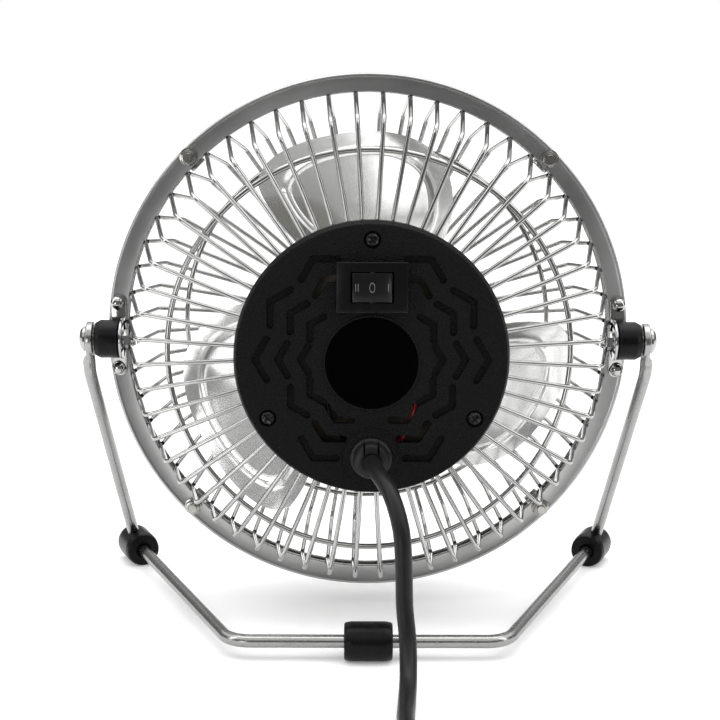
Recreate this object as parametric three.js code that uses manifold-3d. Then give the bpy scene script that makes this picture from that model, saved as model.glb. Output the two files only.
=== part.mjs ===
// A small metal desk fan: a tilting round head with two wire guards on a bent rod stand.
// Millimetres, +Z up, X across, the fan blows toward -Y. Z = 0 is the floor.
import * as THREE from 'three';
import { mergeVertices } from 'three/addons/utils/BufferGeometryUtils.js';
import Module from 'manifold-3d';

const wasm = await Module();
wasm.setup();
const { Manifold } = wasm;

// ---------------------------------------------------------------- driving sizes
const gap = 0.3; // clearance between pieces that touch or pass through each other
const rimRadius = 82.5;
const rimBand = 5.5;
const rimDepth = 8;
const rimSheet = 0.9;
const rimClearance = 6.4; // height of the rim's lowest point above the floor

const wireCount = 56;
const wireRadius = 0.75;
const rearDepth = 30.8; // bend of the rear guard behind the rim's rear face
const frontDepth = 23; // bend of the front guard ahead of the rim's front face
const guardTaper = 5.6; // how far the wires lean inward from the rim to the bend
const guardRingInset = 9.5; // middle ring inside the bend
const coneRise = 0.8; // how much the wires rise from the bend to the middle
const frontConeRise = 3;
const wireInset = 0.9; // how far the wires reach into the rim's channel
const plateThick = 1.3;
const plateProud = 0.1; // centre plate beyond the wires' middle line
const plateInset = 1.5; // rear centre plate inside the cover's edge
const frontPlateRadius = 22;
const tabWidth = 5;
const tabThick = 0.9;
const badgeRadius = 20.5;
const badgeThick = 2.6;
const badgeStem = 1.5;

const coverRadius = 41;
const coverDepth = 5.5;
const coverWall = 1.8;
const coverShiftX = -0.65; // the cover sits a little off the guard's middle
const coverShiftZ = -0.7;
const coverScrewInset = 5.5; // cover screws inside the cover's edge
const slotWidth = 2.2;
const slotDepth = 0.5;
const slotRows = [{ inset: 20, arm: 4.6 }, { inset: 13.3, arm: 5.6 }, { inset: 6.5, arm: 7 }];
const labelMargin = 1.7; // label's edge below the switch body
const labelDrop = 1;
const labelRecess = 0.6;
const labelProud = 0.2;

const switchInset = 19.3; // switch centre inside the cover's edge
const bezelWidth = 21;
const bezelHeight = 15;
const bezelThick = 1.5;
const bezelFlange = 1.3; // how far the bezel reaches past the switch body
const rockerInsetX = 8.9; // bezel width left after the rocker
const rockerInsetZ = 6.4;
const rockerPin = 0.8;
const glandInset = 11.5; // gland centre inside the cover's edge
const glandRadius = 6.2;
const glandNeck = 4.6;
const glandFlat = 0.8;
const glandLength = 6.2;
const bossRadius = 8.25;
const bossHeight = 1;
const cordRadius = 2.5;
const leadRadius = 0.7;

const motorRadius = 17.5;
const motorLength = 23;
const motorNose = 4.2;
const motorScrewX = 10;
const shaftRadius = 1.2;
const tipClearance = 5.8; // blade tips inside the guard's bend
const bladeLead = 35.6; // reach of a blade's rear corner to one side of its middle line
const bladeTrail = 34; // and of its front side to the other
const bladeCount = 3;
const bladeThick = 1;
const bladePitch = 28; // degrees
const bladeTurn = 3; // degrees from straight up, at rest
const hubRadius = 11;
const hubLength = 12;
const hubStandoff = 8; // hub ahead of the motor
const capRadius = 6.5;
const capRise = 5;

const rodRadius = 2;
const footRadius = 5.9;
const footFlat = 0.2; // how much of each foot's round is flattened by the floor
const footLength = 14.4;
const bracketSheet = 1;
const bushingRadius = 6;
const bushingLength = 7.7;
const lugThick = 2.2;
const lugRadius = 5.4;
const boltRadius = 1.9;
const boltHeadRadius = 3.9;
const pivotNutRadius = 3;
const kneeDrop = 10; // rod bend below the pivot
const armLean = 6; // how far each arm leans inward on its way down
const sideFootAhead = 46.7;
const baseBarBehind = 50.7;
const baseBarHalf = 41;
const kneeBend = 9;
const heelBend = 4;
const cornerBend = 9;
const footAlongBase = 2.6; // side feet past the heel bend

// ---------------------------------------------------------------- derived sizes
const footCentre = footRadius - footFlat;
const baseFront = sideFootAhead + footRadius;
const baseBack = baseBarBehind + footRadius;
const headHeight = rimClearance + rimRadius; // height of the fan's axis above the floor
const rimRear = (baseFront - baseBack) / 2; // Y of the rim's rear face, so that Y = 0 is mid base
const rimFront = rimRear - rimDepth;
const wireStart = rimRadius - rimBand - gap - 2 * wireRadius + 0.4;
const bendRadius = wireStart - guardTaper;
const guardRingRadius = bendRadius - guardRingInset;
const rimHoleRadius = rimRadius - rimBand / 2 - 0.1;
const bracketFace = rimRear + gap + bracketSheet;
const pivotY = bracketFace + gap + bushingRadius;
const pivotZ = headHeight;
const plateX = rimRadius - rimBand - gap;
const plateSheet = 0.9;
const bushingX = plateX + plateSheet + gap;
const lugX = bushingX + bushingLength + gap;
const rodX = lugX + lugThick / 2 + 0.6;
const heelX = rodX - armLean;
const boltHeadX = lugX + lugThick + gap;
const plateBack = rimRear + rearDepth + coneRise + plateProud; // rear face of the guard's centre plate
const plateFront = plateBack - plateThick;
const coverFront = rimRear + rearDepth + coneRise + wireRadius + gap;
const coverBack = coverFront + coverDepth;
const motorBack = plateFront - gap;
const motorFront = motorBack - motorLength;
const hubBack = motorFront - hubStandoff;
const hubFront = hubBack - hubLength;
const bladeTip = bendRadius - tipClearance;
const coverScrewRadius = coverRadius - coverScrewInset;
const switchHeight = coverRadius - switchInset; // switch centre above the cover's middle
const labelRadius = switchHeight - bezelHeight / 2 - labelMargin + labelDrop;
const glandDrop = coverRadius - glandInset; // gland centre below the cover's middle
const cordOut = coverBack + glandLength; // rear face of the gland
const rockerWidth = bezelWidth - rockerInsetX;
const rockerHeight = bezelHeight - rockerInsetZ;

// ---------------------------------------------------------------- materials
const look = {
  chrome: [0xc9cbcd, 0.16, 1],
  steel: [0xa9abad, 0.32, 1],
  aluminium: [0xd6d8da, 0.22, 1],
  blackPlastic: [0x131313, 0.55, 0],
  blackGloss: [0x0b0b0b, 0.25, 0],
  rubber: [0x161616, 0.75, 0],
  darkScrew: [0x2a2a2a, 0.4, 1],
  red: [0xa8141a, 0.45, 0],
  black: [0x101010, 0.5, 0],
};
const group = new THREE.Group();
group.name = 'desk_fan';

// ---------------------------------------------------------------- helpers
function solid(geometry) {
  const plain = geometry.clone();
  plain.deleteAttribute('normal');
  plain.deleteAttribute('uv');
  const merged = mergeVertices(plain, 1e-4);
  const index = merged.index.array;
  const kept = [];
  for (let i = 0; i < index.length; i += 3) {
    const [a, b, c] = [index[i], index[i + 1], index[i + 2]];
    if (a !== b && b !== c && c !== a) kept.push(a, b, c);
  }
  const mesh = new wasm.Mesh({
    numProp: 3,
    vertProperties: Float32Array.from(merged.attributes.position.array),
    triVerts: Uint32Array.from(kept),
  });
  return new Manifold(mesh);
}

function addPart(name, shape, style) {
  const mesh = shape.getMesh();
  const geometry = new THREE.BufferGeometry();
  geometry.setAttribute('position', new THREE.BufferAttribute(Float32Array.from(mesh.vertProperties), 3));
  geometry.setIndex(new THREE.BufferAttribute(Uint32Array.from(mesh.triVerts), 1));
  geometry.computeVertexNormals();
  const [color, roughness, metalness] = look[style];
  const part = new THREE.Mesh(geometry, new THREE.MeshStandardMaterial({ color, roughness, metalness }));
  part.name = name;
  group.add(part);
}

function join(shapes) {
  return Manifold.union(shapes);
}

// A shape turned about its own Y axis; the profile lists [radius, along] anticlockwise.
function turned(profile, sides) {
  const points = profile.map(([r, y]) => new THREE.Vector2(r, y));
  points.push(points[0].clone());
  return new THREE.LatheGeometry(points, sides);
}

function turnedSolid(profile, sides) {
  return solid(turned(profile, sides));
}

function disc(radius, from, to, sides) {
  return turned([[0, from], [radius, from], [radius, to], [0, to]], sides);
}

// A domed head that starts at `from` and rises by `rise` along Y.
function dome(radius, from, rise, sides) {
  const side = from + rise * 0.35;
  const shoulder = from + rise * 0.8;
  const profile = [[0, from], [radius, from], [radius, side], [radius * 0.7, shoulder], [0, from + rise]];
  return turned(profile, sides);
}

function box(x0, x1, y0, y1, z0, z1) {
  const geometry = new THREE.BoxGeometry(x1 - x0, y1 - y0, z1 - z0);
  return geometry.translate((x0 + x1) / 2, (y0 + y1) / 2, (z0 + z1) / 2);
}

function onAxis(shape) {
  return shape.translate(0, 0, headHeight);
}

// Puts what belongs to the rear cover round the cover's own middle.
function onCover(shape) {
  return shape.translate(coverShiftX, 0, headHeight + coverShiftZ);
}

// Turns a shape made along Y so that it points along +X or -X at the pivot's height.
function onPivot(geometry, side) {
  return geometry.rotateZ(side > 0 ? -Math.PI / 2 : Math.PI / 2).translate(0, pivotY, pivotZ);
}

// A path through hand-chosen points that an extrusion visits one by one.
class PointPath extends THREE.Curve {
  constructor(points) {
    super();
    this.points = points;
  }

  getPoint(t) {
    const last = this.points.length - 1;
    const at = Math.min(Math.max(t, 0), 1) * last;
    const low = Math.min(Math.floor(at + 1e-6), last - 1);
    return this.points[low].clone().lerp(this.points[low + 1], at - low);
  }

  getPointAt(t) {
    return this.getPoint(t);
  }

  getTangent(t) {
    const last = this.points.length - 1;
    const near = Math.round(t * last);
    const before = this.points[Math.max(near - 1, 0)];
    const here = this.points[near];
    const after = this.points[Math.min(near + 1, last)];
    const into = near > 0 ? here.clone().sub(before).normalize() : after.clone().sub(here).normalize();
    const out = near < last ? after.clone().sub(here).normalize() : into;
    return into.clone().add(out).normalize();
  }

  getTangentAt(t) {
    return this.getTangent(t);
  }
}

function polygon(radius, sides) {
  const shape = new THREE.Shape();
  for (let i = 0; i < sides; i += 1) {
    const angle = (2 * Math.PI * (i + 0.5)) / sides;
    const [x, y] = [radius * Math.cos(angle), radius * Math.sin(angle)];
    if (i === 0) shape.moveTo(x, y);
    else shape.lineTo(x, y);
  }
  shape.closePath();
  return shape;
}

function tube(points, radius, sides) {
  const options = { extrudePath: new PointPath(points), steps: points.length - 1, bevelEnabled: false };
  return new THREE.ExtrudeGeometry(polygon(radius, sides), options);
}

// Rounds the inner corners of a path of straight runs with short arcs.
function rounded(corners, radii, steps) {
  const points = [corners[0].clone()];
  for (let i = 1; i < corners.length - 1; i += 1) {
    const into = corners[i - 1].clone().sub(corners[i]).normalize();
    const out = corners[i + 1].clone().sub(corners[i]).normalize();
    const half = into.angleTo(out) / 2;
    const reach = radii[i - 1] / Math.tan(half);
    const middle = into.clone().add(out).normalize();
    const centre = corners[i].clone().addScaledVector(middle, radii[i - 1] / Math.sin(half));
    const start = corners[i].clone().addScaledVector(into, reach).sub(centre);
    const end = corners[i].clone().addScaledVector(out, reach).sub(centre);
    const sweep = start.angleTo(end);
    for (let k = 0; k <= steps; k += 1) {
      const t = k / steps;
      const a = Math.sin((1 - t) * sweep) / Math.sin(sweep);
      const b = Math.sin(t * sweep) / Math.sin(sweep);
      points.push(centre.clone().addScaledVector(start, a).addScaledVector(end, b));
    }
  }
  points.push(corners[corners.length - 1].clone());
  return points;
}

// Shifts a shape that faces rearward onto a place on the fan's face.
function onFace(shape, x, z) {
  return shape.translate(x, 0, headHeight + z);
}

function aroundAxis(radius, degrees) {
  const angle = THREE.MathUtils.degToRad(degrees);
  return [radius * Math.sin(angle), radius * Math.cos(angle)];
}

// ---------------------------------------------------------------- rim and its screws
const rimInner = rimRadius - rimBand;
const rimSkirt = rimRadius - rimSheet;
let rim = turnedSolid([
  [rimInner, rimFront], [rimRadius, rimFront], [rimRadius, rimRear], [rimInner, rimRear],
  [rimInner, rimRear - rimSheet], [rimSkirt, rimRear - rimSheet],
  [rimSkirt, rimFront + rimSheet], [rimInner, rimFront + rimSheet],
], wireCount).translate(0, 0, headHeight);

const rimScrewAngles = [45, 135, 225, 315];
const rimScrewRadius = 1.2;
const rimHoles = rimScrewAngles.map((degrees) => {
  const [x, z] = aroundAxis(rimHoleRadius, degrees);
  return solid(onFace(disc(rimScrewRadius + gap, rimFront - 1, rimRear + 1, 8), x, z));
});

const rivetZ = 10.4;
const rivetX = plateX + 2.7;
const rivetHole = 1.3;
const rivetHoles = [];
for (const side of [1, -1]) {
  for (const up of [1, -1]) {
    const hole = disc(rivetHole, rimRear - 3, rimRear + 3, 8);
    rivetHoles.push(solid(onFace(hole, side * rivetX, up * rivetZ)));
  }
}
rim = rim.subtract(join([...rimHoles, ...rivetHoles]));
addPart('outer_rim', rim, 'chrome');

rimScrewAngles.forEach((degrees, i) => {
  const [x, z] = aroundAxis(rimHoleRadius, degrees);
  const shank = solid(disc(rimScrewRadius, rimFront - gap - 0.4, rimRear + 3.4, 8));
  const head = solid(dome(2.2, 0, 1.5, 10).rotateX(Math.PI).translate(0, rimFront - gap, 0));
  addPart(`rim_screw_${i + 1}`, join([shank, head]).translate(x, 0, headHeight + z), 'steel');
  const nut = solid(disc(2.6, rimRear + gap, rimRear + gap + 2, 6));
  const bore = solid(disc(rimScrewRadius + gap, rimRear, rimRear + 4, 8));
  addPart(`rim_nut_${i + 1}`, nut.subtract(bore).translate(x, 0, headHeight + z), 'steel');
});

// ---------------------------------------------------------------- wire guards
// forward is 1 for the rear guard (it bulges to +Y) and -1 for the front one.
function guard(forward, face, depth, rise, innerRadius) {
  const at = (along) => face + forward * along;
  const wire = tube([
    new THREE.Vector3(0, at(-wireInset), wireStart),
    new THREE.Vector3(0, at(depth), bendRadius),
    new THREE.Vector3(0, at(depth + rise), innerRadius - 2),
  ], wireRadius, 4);
  const pieces = [];
  for (let i = 0; i < wireCount; i += 1) {
    pieces.push(solid(wire.clone().rotateY((2 * Math.PI * (i + 0.5)) / wireCount)));
  }
  const square = (radius, low, high) => {
    const [from, to] = [at(low), at(high)].sort((p, q) => p - q);
    const profile = [
      [radius - wireRadius, from], [radius + wireRadius, from],
      [radius + wireRadius, to], [radius - wireRadius, to],
    ];
    return turnedSolid(profile, wireCount);
  };
  pieces.push(square(wireStart, -1.7, -0.2));
  const ringAt = depth + (rise * (bendRadius - guardRingRadius)) / (bendRadius - innerRadius + 2);
  pieces.push(square(guardRingRadius, ringAt - wireRadius - 1.1, ringAt - wireRadius + 0.4));
  const top = depth + rise + plateProud;
  const [from, to] = [at(top - plateThick), at(top)].sort((p, q) => p - q);
  pieces.push(solid(disc(innerRadius, from, to, wireCount)));
  for (const degrees of rimScrewAngles) {
    const [low, high] = [at(-rimSheet - gap), at(-rimSheet - gap - tabThick)].sort((p, q) => p - q);
    const tab = solid(box(-tabWidth / 2, tabWidth / 2, low, high, wireStart, rimHoleRadius + 1.6));
    pieces.push(tab.rotate([0, degrees, 0]));
  }
  return onAxis(join(pieces)).subtract(join(rimHoles));
}

const coverScrewAngles = [0, 120, 240];
const coverScrewShank = 0.9;
const motorScrewShank = 1.2;
const plateHoles = coverScrewAngles.map((degrees) => {
  const [x, z] = aroundAxis(coverScrewRadius, degrees);
  return onCover(solid(disc(coverScrewShank + gap, plateFront - 1, plateBack + 1, 8)).translate(x, 0, z));
});
for (const side of [1, -1]) {
  const hole = disc(motorScrewShank + gap, plateFront - 1, plateBack + 1, 8);
  plateHoles.push(solid(onFace(hole, side * motorScrewX, 0)));
}
const rearGuard = guard(1, rimRear, rearDepth, coneRise, coverRadius - plateInset);
addPart('rear_guard', rearGuard.subtract(join(plateHoles)), 'chrome');

const frontPlateFace = rimFront - frontDepth - frontConeRise - plateProud;
const badgeHole = solid(onAxis(disc(badgeStem + gap, frontPlateFace - 1, frontPlateFace + 3, 10)));
const frontGuard = guard(-1, rimFront, frontDepth, frontConeRise, frontPlateRadius);
addPart('front_guard', frontGuard.subtract(badgeHole), 'chrome');

const badgeBack = frontPlateFace - wireRadius - gap;
const badge = turnedSolid([
  [0, badgeBack - badgeThick], [badgeRadius - 3.5, badgeBack - badgeThick + 0.2],
  [badgeRadius - 1, badgeBack - badgeThick + 1], [badgeRadius, badgeBack], [0, badgeBack],
], 36);
const stem = solid(disc(badgeStem, badgeBack - 1, badgeBack + 3.2, 10));
addPart('front_badge', onAxis(join([badge, stem])), 'blackGloss');

// ---------------------------------------------------------------- rear cover
let cover = turnedSolid([
  [coverRadius - coverWall, coverFront], [coverRadius, coverFront], [coverRadius, coverBack - 2.3],
  [coverRadius - 0.7, coverBack - 0.8], [coverRadius - 2.3, coverBack], [0, coverBack],
  [0, coverBack - coverWall], [coverRadius - coverWall - 0.6, coverBack - coverWall],
  [coverRadius - coverWall, coverBack - coverWall - 0.8],
], 48);
const boss = disc(bossRadius, coverBack - 1, coverBack + bossHeight, 24).translate(0, 0, -glandDrop);
cover = join([cover, solid(boss)]);

// A V-shaped slot whose point faces away from the fan's axis.
function chevron(radius, arm, degrees, depth) {
  const half = slotWidth / 2;
  const lean = THREE.MathUtils.degToRad(60);
  const [ax, ay] = [arm * Math.sin(lean), -arm * Math.cos(lean)];
  const [nx, ny] = [half * Math.cos(lean), half * Math.sin(lean)];
  const outer = half / Math.sin(lean);
  const outline = new THREE.Shape([
    new THREE.Vector2(0, radius + outer),
    new THREE.Vector2(-ax - nx, radius + ay + ny),
    new THREE.Vector2(-ax + nx, radius + ay - ny),
    new THREE.Vector2(0, radius - outer),
    new THREE.Vector2(ax - nx, radius + ay - ny),
    new THREE.Vector2(ax + nx, radius + ay + ny),
  ]);
  const block = new THREE.ExtrudeGeometry(outline, { depth: depth + 1, bevelEnabled: false });
  block.rotateX(Math.PI / 2);
  return solid(block).translate(0, coverBack + 1, 0).rotate([0, degrees, 0]);
}

const cuts = [];
for (let step = 0; step < 12; step += 1) {
  const degrees = step * 30;
  const openAngle = [30, 330, 150, 210].includes(degrees);
  slotRows.forEach(({ inset, arm }, row) => {
    const underSwitch = degrees === 0 || (openAngle && row === 0 && (degrees < 90 || degrees > 270));
    const underGland = degrees === 180;
    const underScrew = row === 2 && (degrees === 120 || degrees === 240);
    if (underSwitch || underGland || underScrew) return;
    const through = (openAngle && row === 1) || (row === 0 && (degrees === 150 || degrees === 210));
    cuts.push(chevron(coverRadius - inset, arm, degrees, through ? coverWall + 1 : slotDepth));
  });
}
const coverScrewHead = 2.05;
const coverScrewSink = 1; // depth of the recess under each cover screw
for (const degrees of coverScrewAngles) {
  const [x, z] = aroundAxis(coverScrewRadius, degrees);
  const recess = disc(coverScrewHead + 0.55, coverBack - coverScrewSink, coverBack + 1, 12);
  cuts.push(solid(recess.translate(x, 0, z)));
  cuts.push(solid(disc(coverScrewShank + gap, coverFront - 1, coverBack, 8).translate(x, 0, z)));
}
const labelPocket = disc(labelRadius + gap, coverBack - labelRecess, coverBack + 1, 32);
cuts.push(solid(labelPocket.translate(0, 0, -labelDrop)));
const bodyHalfWidth = bezelWidth / 2 - bezelFlange;
const bodyHalfHeight = bezelHeight / 2 - bezelFlange;
const bezelHole = box(
  -bodyHalfWidth - gap, bodyHalfWidth + gap, coverFront, coverBack + 1,
  switchHeight - bodyHalfHeight - gap, switchHeight + bodyHalfHeight + gap,
);
cuts.push(solid(bezelHole));
cuts.push(solid(disc(glandNeck + gap, coverFront, coverBack + 3, 16).translate(0, 0, -glandDrop)));
addPart('rear_cover', onCover(cover.subtract(join(cuts))), 'blackPlastic');

coverScrewAngles.forEach((degrees, i) => {
  const [x, z] = aroundAxis(coverScrewRadius, degrees);
  const seat = coverBack - coverScrewSink + gap;
  const head = solid(dome(coverScrewHead, seat, 1.1, 12));
  const bar = solid(box(-1.2, 1.2, seat + 0.6, seat + 2, -0.25, 0.25));
  const cross = join([bar, bar.rotate([0, 90, 0])]);
  const shank = solid(disc(coverScrewShank, plateFront - 2, seat + 0.3, 8));
  const screw = join([head, shank]).subtract(cross);
  addPart(`cover_screw_${i + 1}`, onCover(screw.translate(x, 0, z)), 'darkScrew');
});

const label = disc(labelRadius, coverBack - labelRecess + gap, coverBack + labelProud, 32);
addPart('label_disc', onCover(solid(label.translate(0, 0, -labelDrop))), 'blackGloss');

// ---------------------------------------------------------------- switch
const bezelBack = coverBack + gap;
const bezelFace = bezelBack + bezelThick;
const openHalfWidth = rockerWidth / 2 + gap;
const openHalfHeight = rockerHeight / 2 + gap;
const rockerPivotY = bezelFace - 0.8;
const pocketFloor = rockerPivotY - 5.2;
const bezel = solid(box(
  -bezelWidth / 2, bezelWidth / 2, bezelBack, bezelFace, -bezelHeight / 2, bezelHeight / 2,
));
const body = solid(box(
  -bodyHalfWidth, bodyHalfWidth, plateBack + gap + 0.4, bezelBack + 0.5, -bodyHalfHeight, bodyHalfHeight,
));
const pocket = solid(box(
  -openHalfWidth, openHalfWidth, pocketFloor, bezelFace + 1, -openHalfHeight, openHalfHeight,
));
const pinHole = disc(rockerPin + gap, -openHalfHeight - 1, openHalfHeight + 1, 8).rotateX(Math.PI / 2);
const switchHoles = join([pocket, solid(pinHole.translate(0, rockerPivotY, 0))]);
const switchBody = join([bezel, body]).subtract(switchHoles);
addPart('switch_body', onCover(switchBody.translate(0, 0, switchHeight)), 'blackPlastic');

const rockerEdge = rockerWidth / 2 - 0.15;
const rockerShape = new THREE.Shape([
  [-2.5, -3.7], [2.5, -3.7], [rockerEdge - 0.7, -1.6], [rockerEdge, 0.2], [rockerEdge - 0.05, 1.4],
  [0, 0.9], [0.05 - rockerEdge, 1.4], [-rockerEdge, 0.2], [0.7 - rockerEdge, -1.6],
].map(([x, y]) => new THREE.Vector2(x, y)));
const rockerBlock = new THREE.ExtrudeGeometry(rockerShape, { depth: rockerHeight, bevelEnabled: false });
const pinEnd = rockerHeight / 2 + 0.9;
const pin = disc(rockerPin, -pinEnd, pinEnd, 8).rotateX(Math.PI / 2);
const rocker = join([solid(rockerBlock.translate(0, 0, -rockerHeight / 2)), solid(pin)]);
addPart('switch_rocker', onCover(rocker.translate(0, rockerPivotY, switchHeight)), 'blackGloss');

// ---------------------------------------------------------------- gland and inner leads
const glandFace = coverBack + bossHeight + gap;
const glandOuter = turnedSolid([
  [cordRadius + gap, coverFront + 1], [glandNeck, coverFront + 1], [glandNeck, glandFace],
  [glandRadius, glandFace],
  [glandRadius, cordOut - 1.2], [glandRadius - 1, cordOut], [cordRadius + gap, cordOut],
], 16);
const flats = [1, -1].map((side) => {
  const [x0, x1] = side > 0 ? [glandRadius - glandFlat, 12] : [-12, glandFlat - glandRadius];
  return solid(box(x0, x1, glandFace - 1, cordOut + 1, -12, 12));
});
const gland = glandOuter.subtract(join(flats));
addPart('cord_gland', onCover(gland.translate(0, 0, -glandDrop)), 'blackPlastic');

// Each lead runs from the gland round the label's side to the switch.
const leadReach = 11;
const leadY = coverFront + leadRadius;
const leadPath = (side) => [
  new THREE.Vector3(side * 2.6, leadY, -glandDrop + 5.6),
  new THREE.Vector3(side * leadReach, leadY, -glandDrop + 11),
  new THREE.Vector3(side * (leadReach + 3), leadY, -6),
  new THREE.Vector3(side * (leadReach + 1), leadY, 6),
  new THREE.Vector3(side * 6, leadY, switchHeight - bodyHalfHeight - 0.9),
];
addPart('lead_wire_red', onCover(solid(tube(leadPath(-1), leadRadius, 6))), 'red');
addPart('lead_wire_black', onCover(solid(tube(leadPath(1), leadRadius, 6))), 'black');

// ---------------------------------------------------------------- motor and blades
let motor = turnedSolid([
  [shaftRadius + gap, motorFront - 2], [motorNose, motorFront - 2], [motorNose, motorFront],
  [motorRadius - 1.2, motorFront],
  [motorRadius, motorFront + 1.2], [motorRadius, motorBack], [shaftRadius + gap, motorBack],
], 32);
const motorScrewHoles = [1, -1].map((side) => (
  solid(disc(motorScrewShank + gap, motorBack - 4, motorBack + 1, 8).translate(side * motorScrewX, 0, 0))
));
motor = motor.subtract(join(motorScrewHoles));
addPart('motor_can', onAxis(motor), 'steel');
[1, -1].forEach((side, i) => {
  const shank = solid(disc(motorScrewShank, motorBack - 4 + gap, plateBack + gap + 0.2, 8));
  const head = solid(disc(2, plateBack + gap, plateBack + gap + 0.5, 10));
  const screw = onAxis(join([shank, head]).translate(side * motorScrewX, 0, 0));
  addPart(`motor_screw_${i + 1}`, screw, 'darkScrew');
});

addPart('motor_shaft', solid(onAxis(disc(shaftRadius, hubFront - 2, motorBack - 1, 10))), 'steel');

// One flat blade in the XZ plane, narrow at the hub and broad at its rounded tip.
function bladeOutline() {
  const root = hubRadius - 2;
  const leadHeight = bladeTip - 14.5;
  const trailHeight = bladeTip - 23;
  const shape = new THREE.Shape();
  shape.moveTo(-7, root);
  shape.bezierCurveTo(-bladeTrail + 20, root + 7, -bladeTrail, trailHeight - 17, -bladeTrail, trailHeight);
  shape.bezierCurveTo(-bladeTrail, bladeTip - 8, -20, bladeTip, 0, bladeTip);
  shape.bezierCurveTo(18, bladeTip, bladeLead, bladeTip - 5, bladeLead, leadHeight);
  shape.bezierCurveTo(bladeLead - 5.6, leadHeight - 18, 9, root + 17, 7, root);
  shape.closePath();
  return shape;
}

const hubMiddle = (hubBack + hubFront) / 2;
const hubShape = turnedSolid([
  [shaftRadius + gap, hubFront], [hubRadius - 1, hubFront], [hubRadius, hubFront + 1],
  [hubRadius, hubBack], [shaftRadius + gap, hubBack],
], 24);
const bladeShapes = [hubShape];
const bladeOptions = { depth: bladeThick, bevelEnabled: false, curveSegments: 6 };
for (let i = 0; i < bladeCount; i += 1) {
  const blade = new THREE.ExtrudeGeometry(bladeOutline(), bladeOptions);
  blade.translate(0, 0, -bladeThick / 2).rotateX(Math.PI / 2);
  blade.rotateZ(THREE.MathUtils.degToRad(bladePitch));
  blade.rotateY(THREE.MathUtils.degToRad(bladeTurn + (360 / bladeCount) * i)).translate(0, hubMiddle, 0);
  bladeShapes.push(solid(blade));
}
const shaftBore = solid(disc(shaftRadius + gap, hubFront - 1, hubBack + 1, 12));
addPart('fan_blades', onAxis(join(bladeShapes).subtract(shaftBore)), 'aluminium');

const capBore = disc(shaftRadius + gap, hubFront - gap - capRise / 2, hubFront + 1, 10);
const cap = solid(dome(capRadius, 0, capRise, 20).rotateX(Math.PI).translate(0, hubFront - gap, 0));
addPart('hub_cap', onAxis(cap.subtract(solid(capBore))), 'blackGloss');

// ---------------------------------------------------------------- pivots
for (const side of [1, -1]) {
  const hand = side > 0 ? 'left' : 'right';
  const low = (a, b) => (side > 0 ? [a, b] : [-b, -a]);
  const strip = box(...low(plateX, plateX + 4.7), rimRear + gap, bracketFace, -13, 13);
  const wallTop = pivotY + bushingRadius - 0.4;
  const wall = box(...low(plateX, plateX + plateSheet), rimRear + gap, wallTop, -6.5, 6.5);
  const boltHole = onPivot(disc(boltRadius + gap, plateX - 1, plateX + plateSheet + 1, 10), side);
  const bracket = join([solid(onAxis(strip)), solid(onAxis(wall))]);
  addPart(`pivot_bracket_${hand}`, bracket.subtract(join([...rivetHoles, solid(boltHole)])), 'chrome');

  [1, -1].forEach((up) => {
    const shank = solid(disc(1, rimRear - 2.2, bracketFace + 0.6, 8));
    const head = solid(dome(2.1, bracketFace + gap, 1.4, 10));
    const rivet = onFace(join([shank, head]), side * rivetX, up * rivetZ);
    addPart(`bracket_rivet_${hand}_${up > 0 ? 'upper' : 'lower'}`, rivet, 'chrome');
  });

  const ends = [bushingX, bushingX + bushingLength];
  const bushing = turned([
    [boltRadius + gap, ends[0]], [bushingRadius, ends[0]], [bushingRadius, ends[1] - 1.4],
    [bushingRadius - 0.5, ends[1] - 0.4], [bushingRadius - 1.5, ends[1]], [boltRadius + gap, ends[1]],
  ], 24);
  addPart(`pivot_bushing_${hand}`, solid(onPivot(bushing, side)), 'rubber');

  const bolt = join([
    solid(onPivot(disc(boltRadius, plateX - 4, boltHeadX + 0.4, 10), side)),
    solid(onPivot(dome(boltHeadRadius, boltHeadX, 2.1, 16), side)),
  ]);
  addPart(`pivot_screw_${hand}`, bolt, 'chrome');
  const nutBlank = solid(onPivot(disc(pivotNutRadius, plateX - gap - 2.2, plateX - gap, 6), side));
  const nutBore = solid(onPivot(disc(boltRadius + gap, plateX - 5, plateX + 1, 10), side));
  addPart(`pivot_nut_${hand}`, nutBlank.subtract(nutBore), 'chrome');
}

// ---------------------------------------------------------------- stand
const heel = new THREE.Vector3(heelX, rimRear - sideFootAhead, footCentre);
const corner = new THREE.Vector3(baseBarHalf, rimRear + baseBarBehind, footCentre);
const rodTop = new THREE.Vector3(rodX, pivotY, pivotZ - lugRadius - 1);
const knee = new THREE.Vector3(rodX, pivotY, pivotZ - kneeDrop);
const mirror = (point) => new THREE.Vector3(-point.x, point.y, point.z);
const corners = [rodTop, knee, heel, corner, ...[corner, heel, knee, rodTop].map(mirror)];
const bends = [kneeBend, heelBend, cornerBend, cornerBend, heelBend, kneeBend];
const rodPoints = rounded(corners, bends, 5);

const standShapes = [solid(tube(rodPoints, rodRadius, 10))];
const lugHoles = [];
for (const side of [1, -1]) {
  const ends = [lugX, lugX + lugThick];
  standShapes.push(solid(onPivot(disc(lugRadius, ...ends, 20), side)));
  const [x0, x1] = side > 0 ? ends : [-ends[1], -ends[0]];
  standShapes.push(solid(box(x0, x1, pivotY - 2.6, pivotY + 2.6, pivotZ - lugRadius - 3.2, pivotZ - 3)));
  lugHoles.push(solid(onPivot(disc(boltRadius + gap, ends[0] - 1, ends[1] + 1, 12), side)));
}
addPart('stand_rod', join(standShapes).subtract(join(lugHoles)), 'chrome');

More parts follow.
